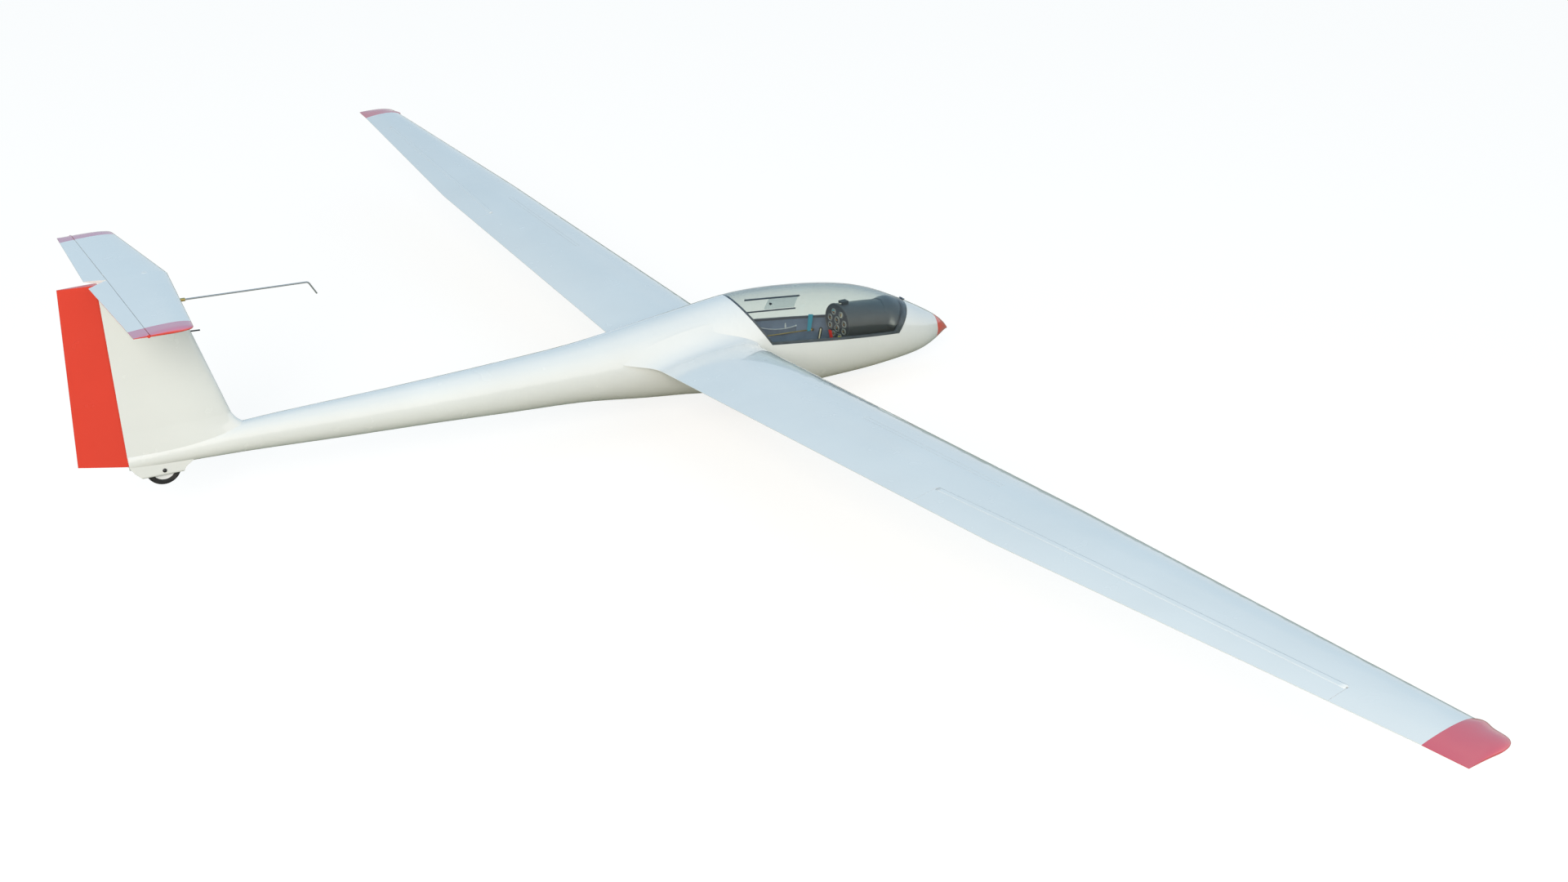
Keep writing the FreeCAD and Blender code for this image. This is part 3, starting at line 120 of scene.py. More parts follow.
class Paint(Nodes):
    """One material with its Principled shader, painted in object coordinates."""

    def __init__(self, name, colour, roughness, **values):
        self.material = bpy.data.materials.new(name)
        self.material.use_nodes = True
        self.material.diffuse_color = (*colour, 1.0)
        super().__init__(self.material.node_tree)
        self.shader = self.tree.nodes["Principled BSDF"]
        self.output = self.tree.nodes["Material Output"]
        self.colour((*colour, 1.0))
        self.roughness(roughness)
        for socket, value in values.items():
            self.set(self.shader, socket.replace("_", " ").title().replace("Ior", "IOR"), value)
        self.coordinates = None

    def position(self):
        if self.coordinates is None:
            self.coordinates = self.node("TexCoord").outputs["Object"]
        return self.coordinates

    def axis(self, letter):
        return self.node("SeparateXYZ", Vector=self.position()).outputs[letter]

    def noise(self, scale, detail=2.0, stretch=None, rough=0.5):
        where = self.position()
        if stretch:
            where = self.node("Mapping", Vector=where, Scale=stretch).outputs[0]
        return self.node("TexNoise", Vector=where, Scale=scale, Detail=detail,
                         Roughness=rough).outputs["Fac"]

    def bump(self, height, distance):
        return self.node("Bump", Height=height, Distance=distance).outputs[0]

    def colour(self, source):
        self.set(self.shader, "Base Color", source)

    def roughness(self, source):
        self.set(self.shader, "Roughness", source)

    def normal(self, source):
        self.set(self.shader, "Normal", source)


def rgba(red, green, blue):
    return (red, green, blue, 1.0)


def shade(colour, factor):
    return tuple(min(1.0, part * factor) for part in colour)


WHITE = (0.84, 0.845, 0.83)
# the stabiliser's red bands, and the pink painted on their upper side as the sky's reflection
RED = (0.74, 0.035, 0.018)
PAINTED_SKY_RED = (0.66, 0.21, 0.31)
GRIME = (0.30, 0.27, 0.22)
TYRE_DUST = (0.12, 0.11, 0.10)
GLASS_EDGE_TINT = (0.66, 0.71, 0.74)
GLASS_GLOSS = (0.93, 0.95, 0.97)
# metres
SEAM_HALF_WIDTH = 0.00035


def gelcoat(name, colour, seam=False, band_x=None, belly=False, coat_ior=1.85):
    """Polished moulded gelcoat with faint mottling and ripples.

    seam draws the line where the mould halves meet, band_x paints red outboard of that distance,
    with a painted pink sky reflection where it faces up, and belly adds grime behind the main
    wheel.
    """
    paint = Paint(name, colour, 0.22, coat_weight=1.0, coat_roughness=0.05, coat_ior=coat_ior,
                  specular_ior_level=0.5)
    mottle = paint.noise(5.0, 4.0)
    body = paint.mix(paint.spread(mottle, 0.0, 1.0), rgba(*shade(colour, 0.965)),
                     rgba(*shade(colour, 1.02)))
    if band_x is not None:
        off_centre = paint.math("ABSOLUTE", paint.axis("X"))
        outboard = paint.math("GREATER_THAN", off_centre, band_x)
        # painted reflection: where the band faces up its red is mixed towards pink, standing in for
        # the blue sky reflected on it
        upward = paint.node("SeparateXYZ", Vector=paint.node("NewGeometry").outputs["Normal"])
        painted_sky_sheen = paint.mix(paint.spread(upward.outputs["Z"], 0.0, 1.0, 0.55, 0.9),
                          rgba(*RED), rgba(*PAINTED_SKY_RED))
        body = paint.mix(outboard, body, painted_sky_sheen)
    if seam:
        off_centre = paint.math("ABSOLUTE", paint.axis("X"))
        line = paint.math("LESS_THAN", off_centre, SEAM_HALF_WIDTH)
        body = paint.mix(paint.math("MULTIPLY", line, 0.25), body, rgba(*shade(colour, 0.45)))
    if belly:
        streak = paint.noise(30.0, 5.0, stretch=(1.0, 0.12, 1.0), rough=0.6)
        low = paint.spread(paint.axis("Z"), 1.0, 0.0, 0.035, 0.085)
        aft = paint.spread(paint.axis("Y"), 0.0, 1.0, -0.46, -0.34)
        fade = paint.spread(paint.axis("Y"), 1.0, 0.0, -0.30, 0.10)
        amount = paint.math("MULTIPLY", paint.math("MULTIPLY", low, aft), fade)
        amount = paint.math("MULTIPLY", amount, paint.spread(streak, 0.0, 0.35, 0.5, 0.75))
        body = paint.mix(amount, body, rgba(*GRIME))
    paint.colour(body)
    paint.roughness(paint.spread(paint.noise(22.0, 3.0), 0.16, 0.28))
    paint.normal(paint.bump(paint.noise(9.0, 0.0), 0.00008))
    return paint.material


def plastic(name, colour, roughness, grain=600.0, depth=0.00005, vary=0.12, **values):
    """Moulded or sprayed plastic with fine grain and slight colour variation."""
    paint = Paint(name, colour, roughness, **values)
    paint.colour(paint.mix(paint.spread(paint.noise(40.0, 4.0), 0.0, 1.0),
                           rgba(*shade(colour, 1.0 - vary)), rgba(*shade(colour, 1.0 + vary))))
    paint.roughness(paint.spread(paint.noise(90.0, 3.0), roughness * 0.8, roughness * 1.2))
    paint.normal(paint.bump(paint.noise(grain, 3.0), depth))
    return paint.material


def metal(name, colour, roughness, stretch=(1.0, 30.0, 30.0), depth=0.00002):
    """Drawn or turned metal with fine marks along one direction."""
    paint = Paint(name, colour, roughness, metallic=1.0)
    marks = paint.noise(160.0, 5.0, stretch=stretch, rough=0.65)
    paint.colour(paint.mix(paint.spread(marks, 0.0, 1.0), rgba(*shade(colour, 0.82)),
                           rgba(*shade(colour, 1.08))))
    paint.roughness(paint.spread(marks, roughness * 0.7, roughness * 1.35))
    paint.normal(paint.bump(marks, depth))
    return paint.material


def rubber(name, colour):
    """Tyre rubber: dusty matte black with fine pitting."""
    paint = Paint(name, colour, 0.72, specular_ior_level=0.35)
    dust = paint.noise(45.0, 5.0, rough=0.65)
    paint.colour(paint.mix(paint.spread(dust, 0.0, 0.5, 0.45, 0.8), rgba(*colour),
                           rgba(*TYRE_DUST)))
    paint.roughness(paint.spread(dust, 0.62, 0.85))
    paint.normal(paint.bump(paint.noise(1400.0, 3.0), 0.00006))
    return paint.material


def plywood(name):
    """Birch plywood: long grain and darker glue lines."""
    paint = Paint(name, (0.62, 0.44, 0.26), 0.6)
    grain = paint.noise(60.0, 6.0, stretch=(1.0, 0.08, 6.0), rough=0.6)
    paint.colour(paint.mix(paint.spread(grain, 0.0, 1.0), rgba(0.50, 0.33, 0.18),
                           rgba(0.72, 0.54, 0.34)))
    paint.roughness(paint.spread(grain, 0.5, 0.7))
    paint.normal(paint.bump(grain, 0.00012))
    return paint.material


def clear_acrylic(name, tint, face_on, grazing):
    """Blown canopy sheet: see-through, with gloss on its outer side.

    The gloss is face_on where the sheet is seen square and rises by grazing at its edges, where
    the tint darkens too.
    """
    paint = Paint(name, tint, 0.02)
    facing = paint.node("LayerWeight", Blend=0.5).outputs["Facing"]
    through = paint.node("BsdfTransparent", Color=rgba(*tint))
    edge = paint.math("POWER", facing, 2.2)
    paint.set(through, "Color", paint.mix(edge, rgba(*tint), rgba(*GLASS_EDGE_TINT)))
    wave = paint.bump(paint.noise(14.0, 0.0), 0.0003)
    gloss = paint.node("BsdfGlossy", Color=rgba(*GLASS_GLOSS), Roughness=0.04, Normal=wave)
    outer = paint.math("SUBTRACT", 1.0, paint.node("NewGeometry").outputs["Backfacing"])
    rise = paint.math("MULTIPLY_ADD", paint.math("POWER", facing, 3.0), grazing, face_on)
    blend = paint.node("MixShader")
    for index, source in enumerate((paint.math("MULTIPLY", rise, outer), through.outputs[0],
                                    gloss.outputs[0])):
        paint.set(blend, index, source)
    paint.set(paint.output, "Surface", blend.outputs[0])
    paint.tree.nodes.remove(paint.shader)
    return paint.material


MATERIALS = {
    "white": gelcoat("white_gelcoat", WHITE),
    "hull": gelcoat("white_gelcoat_hull", WHITE, seam=True, belly=True),
    "banded": gelcoat("white_gelcoat_banded", WHITE, band_x=0.260, coat_ior=2.1),
    "red": gelcoat("red_gelcoat", (0.74, 0.075, 0.105), coat_ior=2.1),
    "rudder": gelcoat("red_gelcoat_rudder", (0.78, 0.050, 0.026), coat_ior=1.45),
    "clear": clear_acrylic("clear_canopy", (0.91, 0.93, 0.905), 0.05, 0.60),
    "pane": clear_acrylic("vent_pane_clear", (0.86, 0.89, 0.90), 0.04, 0.30),
    "slate": plastic("slate_lining", (0.195, 0.255, 0.385), 0.55, grain=900.0, depth=0.00009),
    "rim": plastic("canopy_frame_grey", (0.085, 0.095, 0.12), 0.45),
    "panel": plastic("panel_black", (0.045, 0.050, 0.062), 0.5, grain=1500.0),
    "shroud": plastic("shroud_grey", (0.074, 0.080, 0.092), 0.38, grain=800.0, depth=0.00004,
                      coat_weight=0.6, coat_roughness=0.38),
    "black": plastic("black_plastic", (0.022, 0.022, 0.024), 0.38),
    "grip": plastic("grip_black", (0.018, 0.018, 0.019), 0.6, grain=1800.0, depth=0.00012),
    "blue": plastic("lever_blue", (0.035, 0.42, 0.62), 0.35, vary=0.05),
    "red_plastic": plastic("lever_red", (0.85, 0.025, 0.015), 0.35, vary=0.05),
    "yellow": plastic("knob_yellow", (0.90, 0.74, 0.02), 0.35, vary=0.05),
    "seat": plastic("seat_grey", (0.130, 0.165, 0.240), 0.6, grain=500.0, depth=0.00012),
    "steel": metal("steel", (0.56, 0.57, 0.58), 0.28),
    "aluminium": metal("aluminium", (0.76, 0.77, 0.78), 0.32),
    "brass": metal("brass", (0.78, 0.56, 0.20), 0.25),
    "dark_tube": plastic("dark_tube", (0.030, 0.034, 0.040), 0.35),
    "wood": plywood("plywood"),
    "tyre": rubber("tyre_rubber", (0.020, 0.020, 0.021)),
    "hub": plastic("hub_white", (0.74, 0.75, 0.76), 0.35, vary=0.04),
    "battery": plastic("battery_wrap", (0.05, 0.10, 0.28), 0.3, vary=0.08),
    "face": plastic("gauge_face", (0.012, 0.013, 0.015), 0.25, depth=0.00001, coat_weight=0.6,
                    coat_roughness=0.05),
    "bezel": plastic("gauge_bezel", (0.34, 0.35, 0.34), 0.32, vary=0.1),
    "mark": plastic("gauge_mark", (0.82, 0.80, 0.70), 0.5, depth=0.0, vary=0.03),
    "amber": plastic("gauge_amber", (0.85, 0.38, 0.04), 0.45, depth=0.0, vary=0.04),
    "turquoise": plastic("gauge_sky", (0.05, 0.42, 0.55), 0.4, depth=0.0, vary=0.05),
    "brown": plastic("gauge_earth", (0.16, 0.07, 0.03), 0.4, depth=0.0, vary=0.05),
    # cream for the pale half of a dial, and for the painted highlight strip on the stick grip
    "cream": plastic("cream_dial_and_grip_highlight", (0.78, 0.70, 0.50), 0.5, vary=0.05),
    "pocket": plastic("pocket_cloth", (0.125, 0.165, 0.250), 0.8, grain=1600.0, depth=0.0002),
    "piping": plastic("white_piping", (0.80, 0.84, 0.88), 0.5, grain=2500.0, vary=0.05),
}

LOOKS = {
    "white": ["left_wing_shell", "right_wing_shell", "left_aileron", "right_aileron",
              "left_airbrake_cap", "right_airbrake_cap", "wheel_well"],
    "hull": ["fuselage_shell"],
    "banded": ["stabiliser", "left_elevator", "right_elevator"],
    "red": ["left_wing_tip", "right_wing_tip"],
    "rudder": ["rudder", "nose_cone"],
    "clear": ["canopy_glass"],
    "pane": ["vent_pane"],
    "slate": ["cockpit_liner"],
    "rim": ["canopy_frame", "vent_rails"],
    "panel": ["instrument_panel"],
    "shroud": ["panel_shroud"],
    "black": ["compass", "vent_knob", "instrument_gauges", "servos", "receiver"],
    "grip": ["stick_grip"],
    "blue": ["airbrake_lever"],
    "red_plastic": ["trim_lever"],
    "yellow": ["release_knob"],
    "seat": ["seat_pan"],
    "steel": ["canopy_hinge", "control_stick", "elevator_torque_tube", "stabiliser_bolt",
              "hinge_pins", "wheel_axles", "te_probe", "wing_joiner", "wing_locating_pins",
              "tow_hook"],
    "aluminium": ["stick_fork", "left_airbrake_blade", "right_airbrake_blade", "hinge_lugs",
                  "wheel_bracket"],
    "brass": ["lever_track", "joiner_sleeves", "probe_socket"],
    "dark_tube": ["pitot_tube"],
    "wood": ["main_bulkhead", "wing_spars", "airbrake_boxes", "equipment_tray"],
    "tyre": ["main_tyre", "tail_tyre"],
    "hub": ["main_hub", "tail_hub"],
    "battery": ["flight_battery"],
}

for look, names in LOOKS.items():
    for name in names:
        mesh = NODES[name].data
        mesh.materials.clear()
        mesh.materials.append(MATERIALS[look])


# ---------------------------------------------------------------- mesh pieces

class Piece:
    """Mesh under construction, with lengths in millimetres about row-frame points."""

    def __init__(self):
        self.mesh = bmesh.new()

    def skin(self, rows, closed=False, wrap=False):
        """Quads between rows of points.

        closed joins the ends of each row, and wrap joins the last row to the first.
        """
        made = [[self.mesh.verts.new(point) for point in row] for row in rows]
        pairs = list(zip(made, made[1:])) + ([(made[-1], made[0])] if wrap else [])
        for low, high in pairs:
            count = len(low)
            for index in range(count if closed else count - 1):
                after = (index + 1) % count
                self.mesh.faces.new((low[index], low[after], high[after], high[index]))
        return made

    def cap(self, made):
        """Flat faces over the first and last rows of a skin."""
        self.mesh.faces.new(made[0])
        self.mesh.faces.new(made[-1])

    def lathe(self, centre, axis, profile, steps=40, loop=False):
        """Turned shape about an axis; profile is (radius, height), capped flat unless a loop."""
        axis = Vector(axis).normalized()
        side = axis.orthogonal().normalized()
        rows = []
        for radius, height in profile:
            rows.append([centre + (axis * height + Matrix.Rotation(math.tau * turn / steps, 3, axis)
                                   @ side * radius) * MM for turn in range(steps)])
        made = self.skin(rows, closed=True, wrap=loop)
        if not loop:
            self.cap(made)

    def sweep(self, path, radius, steps=10):
        """Round bar along a path of points, capped at both ends."""
        rows, side = [], None
        for index, point in enumerate(path):
            ahead = path[min(index + 1, len(path) - 1)] - path[max(index - 1, 0)]
            ahead.normalize()
            if side is None:
                side = ahead.orthogonal()
            side = (side - ahead * side.dot(ahead)).normalized()
            rows.append([point + Matrix.Rotation(math.tau * turn / steps, 3, ahead) @ side
                         * radius * MM for turn in range(steps)])
        self.cap(self.skin(rows, closed=True))

    def bar(self, start, end, width, depth, across, taper=1.0):
        """Four-sided bar from start to end; width runs along across, depth square to both."""
        ahead = (end - start).normalized()
        across = (Vector(across) - ahead * ahead.dot(Vector(across))).normalized()
        other = ahead.cross(across)
        rows = []
        for point, scale in ((start, 1.0), (end, taper)):
            rows.append([point + (across * width * i * scale + other * depth * j) * MM / 2
                         for i, j in ((-1, -1), (1, -1), (1, 1), (-1, 1))])
        self.cap(self.skin(rows, closed=True))

    def finish(self, name, look, body, slot, wall=0.0, bevel=0.0, smooth=40.0):
        """Object of this mesh, with its material, riding on a body."""
        bmesh.ops.recalc_face_normals(self.mesh, faces=self.mesh.faces)
        data = bpy.data.meshes.new(name)
        self.mesh.to_mesh(data)
        self.mesh.free()
        data.shade_smooth()
        data.set_sharp_from_angle(angle=math.radians(smooth))
        data.materials.append(MATERIALS[look])
        made = bpy.data.objects.new(name, data)
        bpy.context.scene.collection.objects.link(made)
        if wall:
            layer = made.modifiers.new("wall", "SOLIDIFY")
            layer.thickness = wall * MM
            layer.offset = 0.0
        if bevel:
            edge = made.modifiers.new("bevel", "BEVEL")
            edge.width = bevel * MM
            edge.segments = 2
        if body:
            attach(made, body)
        return made


def surfaces(*names):
    """Search tree over the faces of some CAD nodes."""
    joined = bmesh.new()
    for name in names:
        joined.from_mesh(NODES[name].data)
    tree = BVHTree.FromBMesh(joined)
    joined.free()
    return tree


def between(first, second, share):
    """Value that share of the way from first to second."""
    return first + (second - first) * share


# ---------------------------------------------------------------- instrument panel

PANEL_Y = 302.0
PANEL_Z = -6.0
PANEL_HALF_WIDTH = 41.0
PANEL_HALF_HEIGHT = 36.0
AFT = Vector((0, 1, 0))
# across, up from the panel centre, radius, needle angle
DIALS = ((-14, 20, 6.2, 40), (14, 20, 6.2, 75), (-27, 3, 6.8, 200), (0, 4, 7.7, 300),
         (27, 3, 6.8, 130), (-26, -14, 6.2, 250), (0, -14, 7.1, 20), (26, -14, 6.2, 160),
         (-12, -30, 5.6, 100), (12, -30, 5.6, 330))
HORIZON_DIAL = 1
CREAM_DIAL = 0
FACE_INSET = 0.85
TICKS = 12
TICK_HEIGHT = 1.08
NEEDLE_HEIGHT = 1.35
# A screw sits SCREW_OUT beyond its dial's radius, and is left out where the edge of any dial
# comes nearer than SCREW_ROOM.
SCREW_OUT = 2.3
SCREW_ROOM = 1.9
SWITCH_DROP = 25.5
COMPASS = (0, 295, 36.5)
CARD_RADIUS = 4.75
CARD_TICKS = 16


def on_dial(dial, angle, radius, height):
    """Point on a dial, with angle clockwise from the top as the pilot sees it."""
    turn = math.radians(angle)
    return place(dial[0] - radius * math.sin(turn), PANEL_Y + height,
                 PANEL_Z + dial[1] + radius * math.cos(turn))


def build_dials():
    """Bezels, faces, tick marks, needles and screws of the ten instruments."""
    bezels, faces, marks, needles, screws = (Piece() for _ in range(5))
    panel_centre = place(0, PANEL_Y, PANEL_Z)
    for number, dial in enumerate(DIALS):
        x, up, radius, needle = dial
        centre = place(x, PANEL_Y, PANEL_Z + up)
        bezels.lathe(centre, AFT, [(radius + 1.0, 0.0), (radius + 1.0, 1.1), (radius + 0.5, 1.8),
                                   (radius - 0.5, 1.8), (radius - 0.9, 1.2),
                                   (radius - 0.9, 0.0)], loop=True)
        if number not in (HORIZON_DIAL, CREAM_DIAL):
            faces.lathe(centre, AFT, [(radius - FACE_INSET, 0.3), (radius - FACE_INSET, 0.95),
                                      (0.2, 1.0)], steps=32)
        for tick in range(TICKS):
            turn = tick * 360 / TICKS
            inner = radius - (3.0 if tick % 3 == 0 else 2.3)
            marks.bar(on_dial(dial, turn, inner, TICK_HEIGHT),
                      on_dial(dial, turn, radius - 1.3, TICK_HEIGHT), 0.42, 0.12, AFT)
        needles.bar(on_dial(dial, needle + 180, 1.2, NEEDLE_HEIGHT),
                    on_dial(dial, needle, radius - 1.8, NEEDLE_HEIGHT), 0.16, 0.7, AFT, taper=0.7)
        needles.lathe(centre, AFT, [(0.8, 1.2), (0.8, 1.5), (0.4, 1.65)], steps=12)
        for corner in (45, 135, 225, 315):
            spot = on_dial(dial, corner, radius + SCREW_OUT, 0.0)
            free = all((spot - place(other[0], PANEL_Y, PANEL_Z + other[1])).length
                       > (other[2] + SCREW_ROOM) * MM for other in DIALS)
            offset = (spot - panel_centre) / MM
            on_panel = math.hypot(offset.x / PANEL_HALF_WIDTH, offset.z / PANEL_HALF_HEIGHT) < 1.0
            if free and on_panel:
                screws.lathe(spot, AFT, [(0.75, 0.0), (0.75, 0.35), (0.45, 0.6)], steps=10)
    bezels.finish("gauge_bezels", "bezel", "airframe", "gauge_face")
    faces.finish("gauge_faces", "face", "airframe", "gauge_face")
    marks.finish("gauge_marks", "mark", "airframe", "gauge_face")
    needles.finish("gauge_needles", "amber", "airframe", "gauge_face")
    screws.finish("panel_screws", "steel", "airframe", "steel")


def half_disc(dial, first, last, name, look):
    """Part of a dial face between two angles."""
    half = Piece()
    count = 20
    rim = dial[2] - FACE_INSET
    rows = []
    for height in (0.4, 1.0):
        rows.append([on_dial(dial, between(first, last, step / count), rim, height)
                     for step in range(count + 1)])
    made = half.skin(rows)
    for row in made:
        half.mesh.faces.new(row)
    half.mesh.faces.new((made[0][0], made[0][-1], made[1][-1], made[1][0]))
    half.finish(name, look, "airframe", "gauge_face")


def build_switches():
    """Row of toggle switches under the dials."""
    toggles = Piece()
    for x in (-3.6, 0.0, 3.6):
        foot = place(x, PANEL_Y, PANEL_Z - SWITCH_DROP)
        toggles.lathe(foot, AFT, [(1.3, 0.0), (1.3, 0.7), (0.8, 1.0)], steps=6)
        toggles.sweep([foot + Vector(offset) * MM for offset in
                       ((0, 0, 0), (0, 2.6, 1.3), (0, 3.2, 1.7))], 0.4, steps=8)
    toggles.finish("panel_switches", "steel", "airframe", "steel")


def build_compass_card():
    """Graduated ring inside the compass bowl."""
    centre = place(*COMPASS)
    inner = CARD_RADIUS - 0.25
    card, ticks = Piece(), Piece()
    card.lathe(centre, (0, 0, 1), [(CARD_RADIUS, -0.9), (CARD_RADIUS, 0.9), (inner, 0.9),
                                   (inner, -0.9)], loop=True)
    for step in range(CARD_TICKS):
        turn = math.tau * step / CARD_TICKS
        spot = centre + Vector((math.cos(turn), math.sin(turn), 0)) * (CARD_RADIUS + 0.03) * MM
        tall = 0.7 if step % 4 == 0 else 0.4
        lift = Vector((0, 0, tall)) * MM
        ticks.bar(spot - lift, spot + lift, 0.3, 0.1, (-math.sin(turn), math.cos(turn), 0))
    card.finish("compass_card", "mark", "airframe", "gauge_face")
    ticks.finish("compass_ticks", "face", "airframe", "gauge_face")


# ---------------------------------------------------------------- shroud

GLASS = surfaces("canopy_glass", "canopy_frame")
TUBE = surfaces("panel_shroud")
# metres
RAY_LENGTH = 0.2
# degrees about the panel's centre
RIM_STEP, RIM_END = 6, 150

# The coaming is a sheet of rows from the shroud's tube forward, with columns at angles about an
# axis along the cockpit.
COAMING_AXIS_Z = -10.0
COAMING_ANGLES = [-104 + 8 * step for step in range(27)]
COAMING_ROWS = 12
TUBE_Y = 205
TOP_START_Y, SIDE_START_LATER = 190.0, 14.0
# The front edge of the canopy is a straight line seen from the side, through this point and
# rising forward by EDGE_SLOPE.  Where a column meets it is found in a few passes.
EDGE_Y, EDGE_Z, EDGE_SLOPE = 190.5, -33, 1.04
EDGE_PASSES = 6
FOREMOST_Y = 143.0
TOP_GAP, SIDE_MORE_GAP = 2.2, 4.0


def polar(y, centre_z, angle, radius):
    turn = math.radians(angle)
    return place(radius * math.sin(turn), y, centre_z + radius * math.cos(turn))


def reach(tree, y, centre_z, angle, fallback):
    """Distance in millimetres from the cockpit's axis to the first face of a tree."""
    turn = math.radians(angle)
    start = place(0, y, centre_z)
    hit = tree.ray_cast(start, Vector((math.sin(turn), 0, math.cos(turn))), RAY_LENGTH)
    return hit[3] / MM if hit[0] is not None else fallback


def build_rim():
    """Rolled lip along the aft edge of the shroud, round the panel."""
    data = NODES["panel_shroud"].data
    aft = max(vertex.co.y for vertex in data.vertices)
    centre = place(0, PANEL_Y, PANEL_Z)
    best = {}
    for vertex in data.vertices:
        if vertex.co.y < aft - 0.2 * MM:
            continue
        offset = vertex.co - centre
        sector = round(math.degrees(math.atan2(offset.x, offset.z)) / RIM_STEP)
        if sector not in best or offset.length > (best[sector] - centre).length:
            best[sector] = vertex.co.copy()
    path = [best[sector] for sector in sorted(best) if abs(sector * RIM_STEP) <= RIM_END]
    lip = Piece()
    lip.sweep(path, 1.3, steps=12)
    lip.finish("shroud_lip", "shroud", "airframe", "shroud_grey", smooth=60)


def build_flare():
    """Coaming that spreads from the shroud tube to the canopy's front edge."""
    rows = []
    for row in range(COAMING_ROWS + 1):
        share = row / COAMING_ROWS
        points = []
        for angle in COAMING_ANGLES:
            turn = math.radians(angle)
            sideways = abs(math.sin(turn))
            tube = reach(TUBE, TUBE_Y, COAMING_AXIS_Z, angle, 44) + 0.5
            start_y = TOP_START_Y + SIDE_START_LATER * sideways
            front_y = 178.0
            for _ in range(EDGE_PASSES):
                wide = reach(GLASS, front_y, COAMING_AXIS_Z, angle, 40)
                height = COAMING_AXIS_Z + wide * math.cos(turn)
                front_y = max(EDGE_Y - (height - EDGE_Z) / EDGE_SLOPE, FOREMOST_Y)
            y = between(start_y, front_y, share)
            outer = (reach(GLASS, y, COAMING_AXIS_Z, angle, tube)
                     - (TOP_GAP + SIDE_MORE_GAP * sideways))
            spread = min(1.0, max(0.0, (share - 0.12) / 0.6))
            spread = spread * spread * (3 - 2 * spread)
            points.append(polar(y, COAMING_AXIS_Z, angle, between(min(tube, outer), outer, spread)))
        rows.append(points)
    flare = Piece()
    flare.skin(rows)
    flare.finish("shroud_flare", "shroud", "airframe", "shroud_grey", wall=0.9, smooth=70)


# ---------------------------------------------------------------- cockpit fittings

LINER = surfaces("cockpit_liner")
POCKET_FRONT, POCKET_LENGTH, POCKET_DEPTH = 360, 90, 14
HEM_BACK_Z, HEM_DROP, HEM_LIFT = -16.0, 35.0, 23.6
STUD_Y = 387


def wall_point(y, z, inset):
    """Point on the port lining, set in from it by some millimetres."""
    hit = LINER.ray_cast(place(0, y, z), Vector((1, 0, 0)), RAY_LENGTH)
    distance = hit[3] / MM if hit[0] is not None else 66.0
    return place(distance - inset, y, z)


def hem_z(y):
    """Height of the sagging hem of the side pocket."""
    share = (POCKET_FRONT + POCKET_LENGTH - y) / POCKET_LENGTH
    return HEM_BACK_Z - HEM_DROP * share + HEM_LIFT * share * share


def build_pocket():
    """Elastic map pocket on the port wall, with its hem, strap and studs."""
    count = 36
    stations = [POCKET_FRONT + POCKET_LENGTH * step / count for step in range(count + 1)]
    hem = Piece()
    hem.sweep([wall_point(y, hem_z(y), 1.4) for y in stations], 0.75, steps=10)
    hem.finish("pocket_hem", "piping", "airframe", "slate_lining", smooth=60)
    rows = []
    for level in range(9):
        share = level / 8
        row = []
        for y in stations:
            along = (y - POCKET_FRONT) / POCKET_LENGTH
            bulge = 1.6 * math.sin(math.pi * along) * (1 - share) ** 1.5
            pleat = 0.22 * math.sin(along * 40) * (1 - share)
            row.append(wall_point(y, hem_z(y) - POCKET_DEPTH * share, 1.2 + bulge * 0.4 + pleat))
        rows.append(row)
    pocket = Piece()
    pocket.skin(rows)
    pocket.finish("side_pocket", "pocket", "airframe", "slate_lining", wall=0.5, smooth=60)
    stud = Piece()
    stud.bar(wall_point(STUD_Y, -17, 1.3), wall_point(STUD_Y, -28, 1.3), 2.4, 0.8, AFT)
    stud.lathe(wall_point(STUD_Y, -24, 1.2), (-1, 0, 0), [(2.2, 0.0), (2.2, 0.8), (1.3, 1.4)], 16)
    stud.lathe(wall_point(POCKET_FRONT, hem_z(POCKET_FRONT), 1.2), (-1, 0, 0),
               [(1.9, 0.0), (1.9, 0.8), (1.1, 1.4)], 16)
    stud.finish("pocket_stud", "piping", "airframe", "slate_lining", bevel=0.2)


def build_grip_details():
    """Finger ridges of the stick grip, and a pale strip down its lit side as a painted highlight.
    """
    low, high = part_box("stick_grip")
    top = Vector((0, low.y + 0.0039, high.z))
    bottom = Vector((0, high.y - 0.0027, low.z))
    axis = (top - bottom).normalized()
    side = Vector((-1, 0, 0))
    aft = axis.cross(side)
    if aft.y < 0:
        aft = -aft
    ridges = Piece()
    for step in range(5):
        spot = between(bottom, top, 0.25 + 0.12 * step)
        ridges.lathe(spot, axis, [(3.0, -1.3), (3.9, -0.5), (3.9, 0.5), (3.0, 1.3)], 20)
    ridges.finish("grip_ridges", "grip", "stick", "grip_black", smooth=60)
    # painted highlight: a cream strip along the grip's side towards the key light stands in for its
    # gloss
    highlight_strip = Piece()
    lean = (side + aft * 0.7).normalized()
    highlight_strip.bar(between(bottom, top, 0.2) + lean * 3.6 * MM,
              between(bottom, top, 0.92) + lean * 3.9 * MM, 2.8, 1.1, lean.cross(axis))
    highlight_strip.finish("grip_painted_highlight", "cream", "stick", "grip_black", bevel=0.3)


# ---------------------------------------------------------------- wheels

TAIL_AXLE_Y, TAIL_AXLE_Z, FAIRING_HALF_WIDTH = 1722.5, -14, 12.4
HUB_BOLTS, BOLT_CIRCLE, BOLT_INSET = 6, 12.5, 1.2


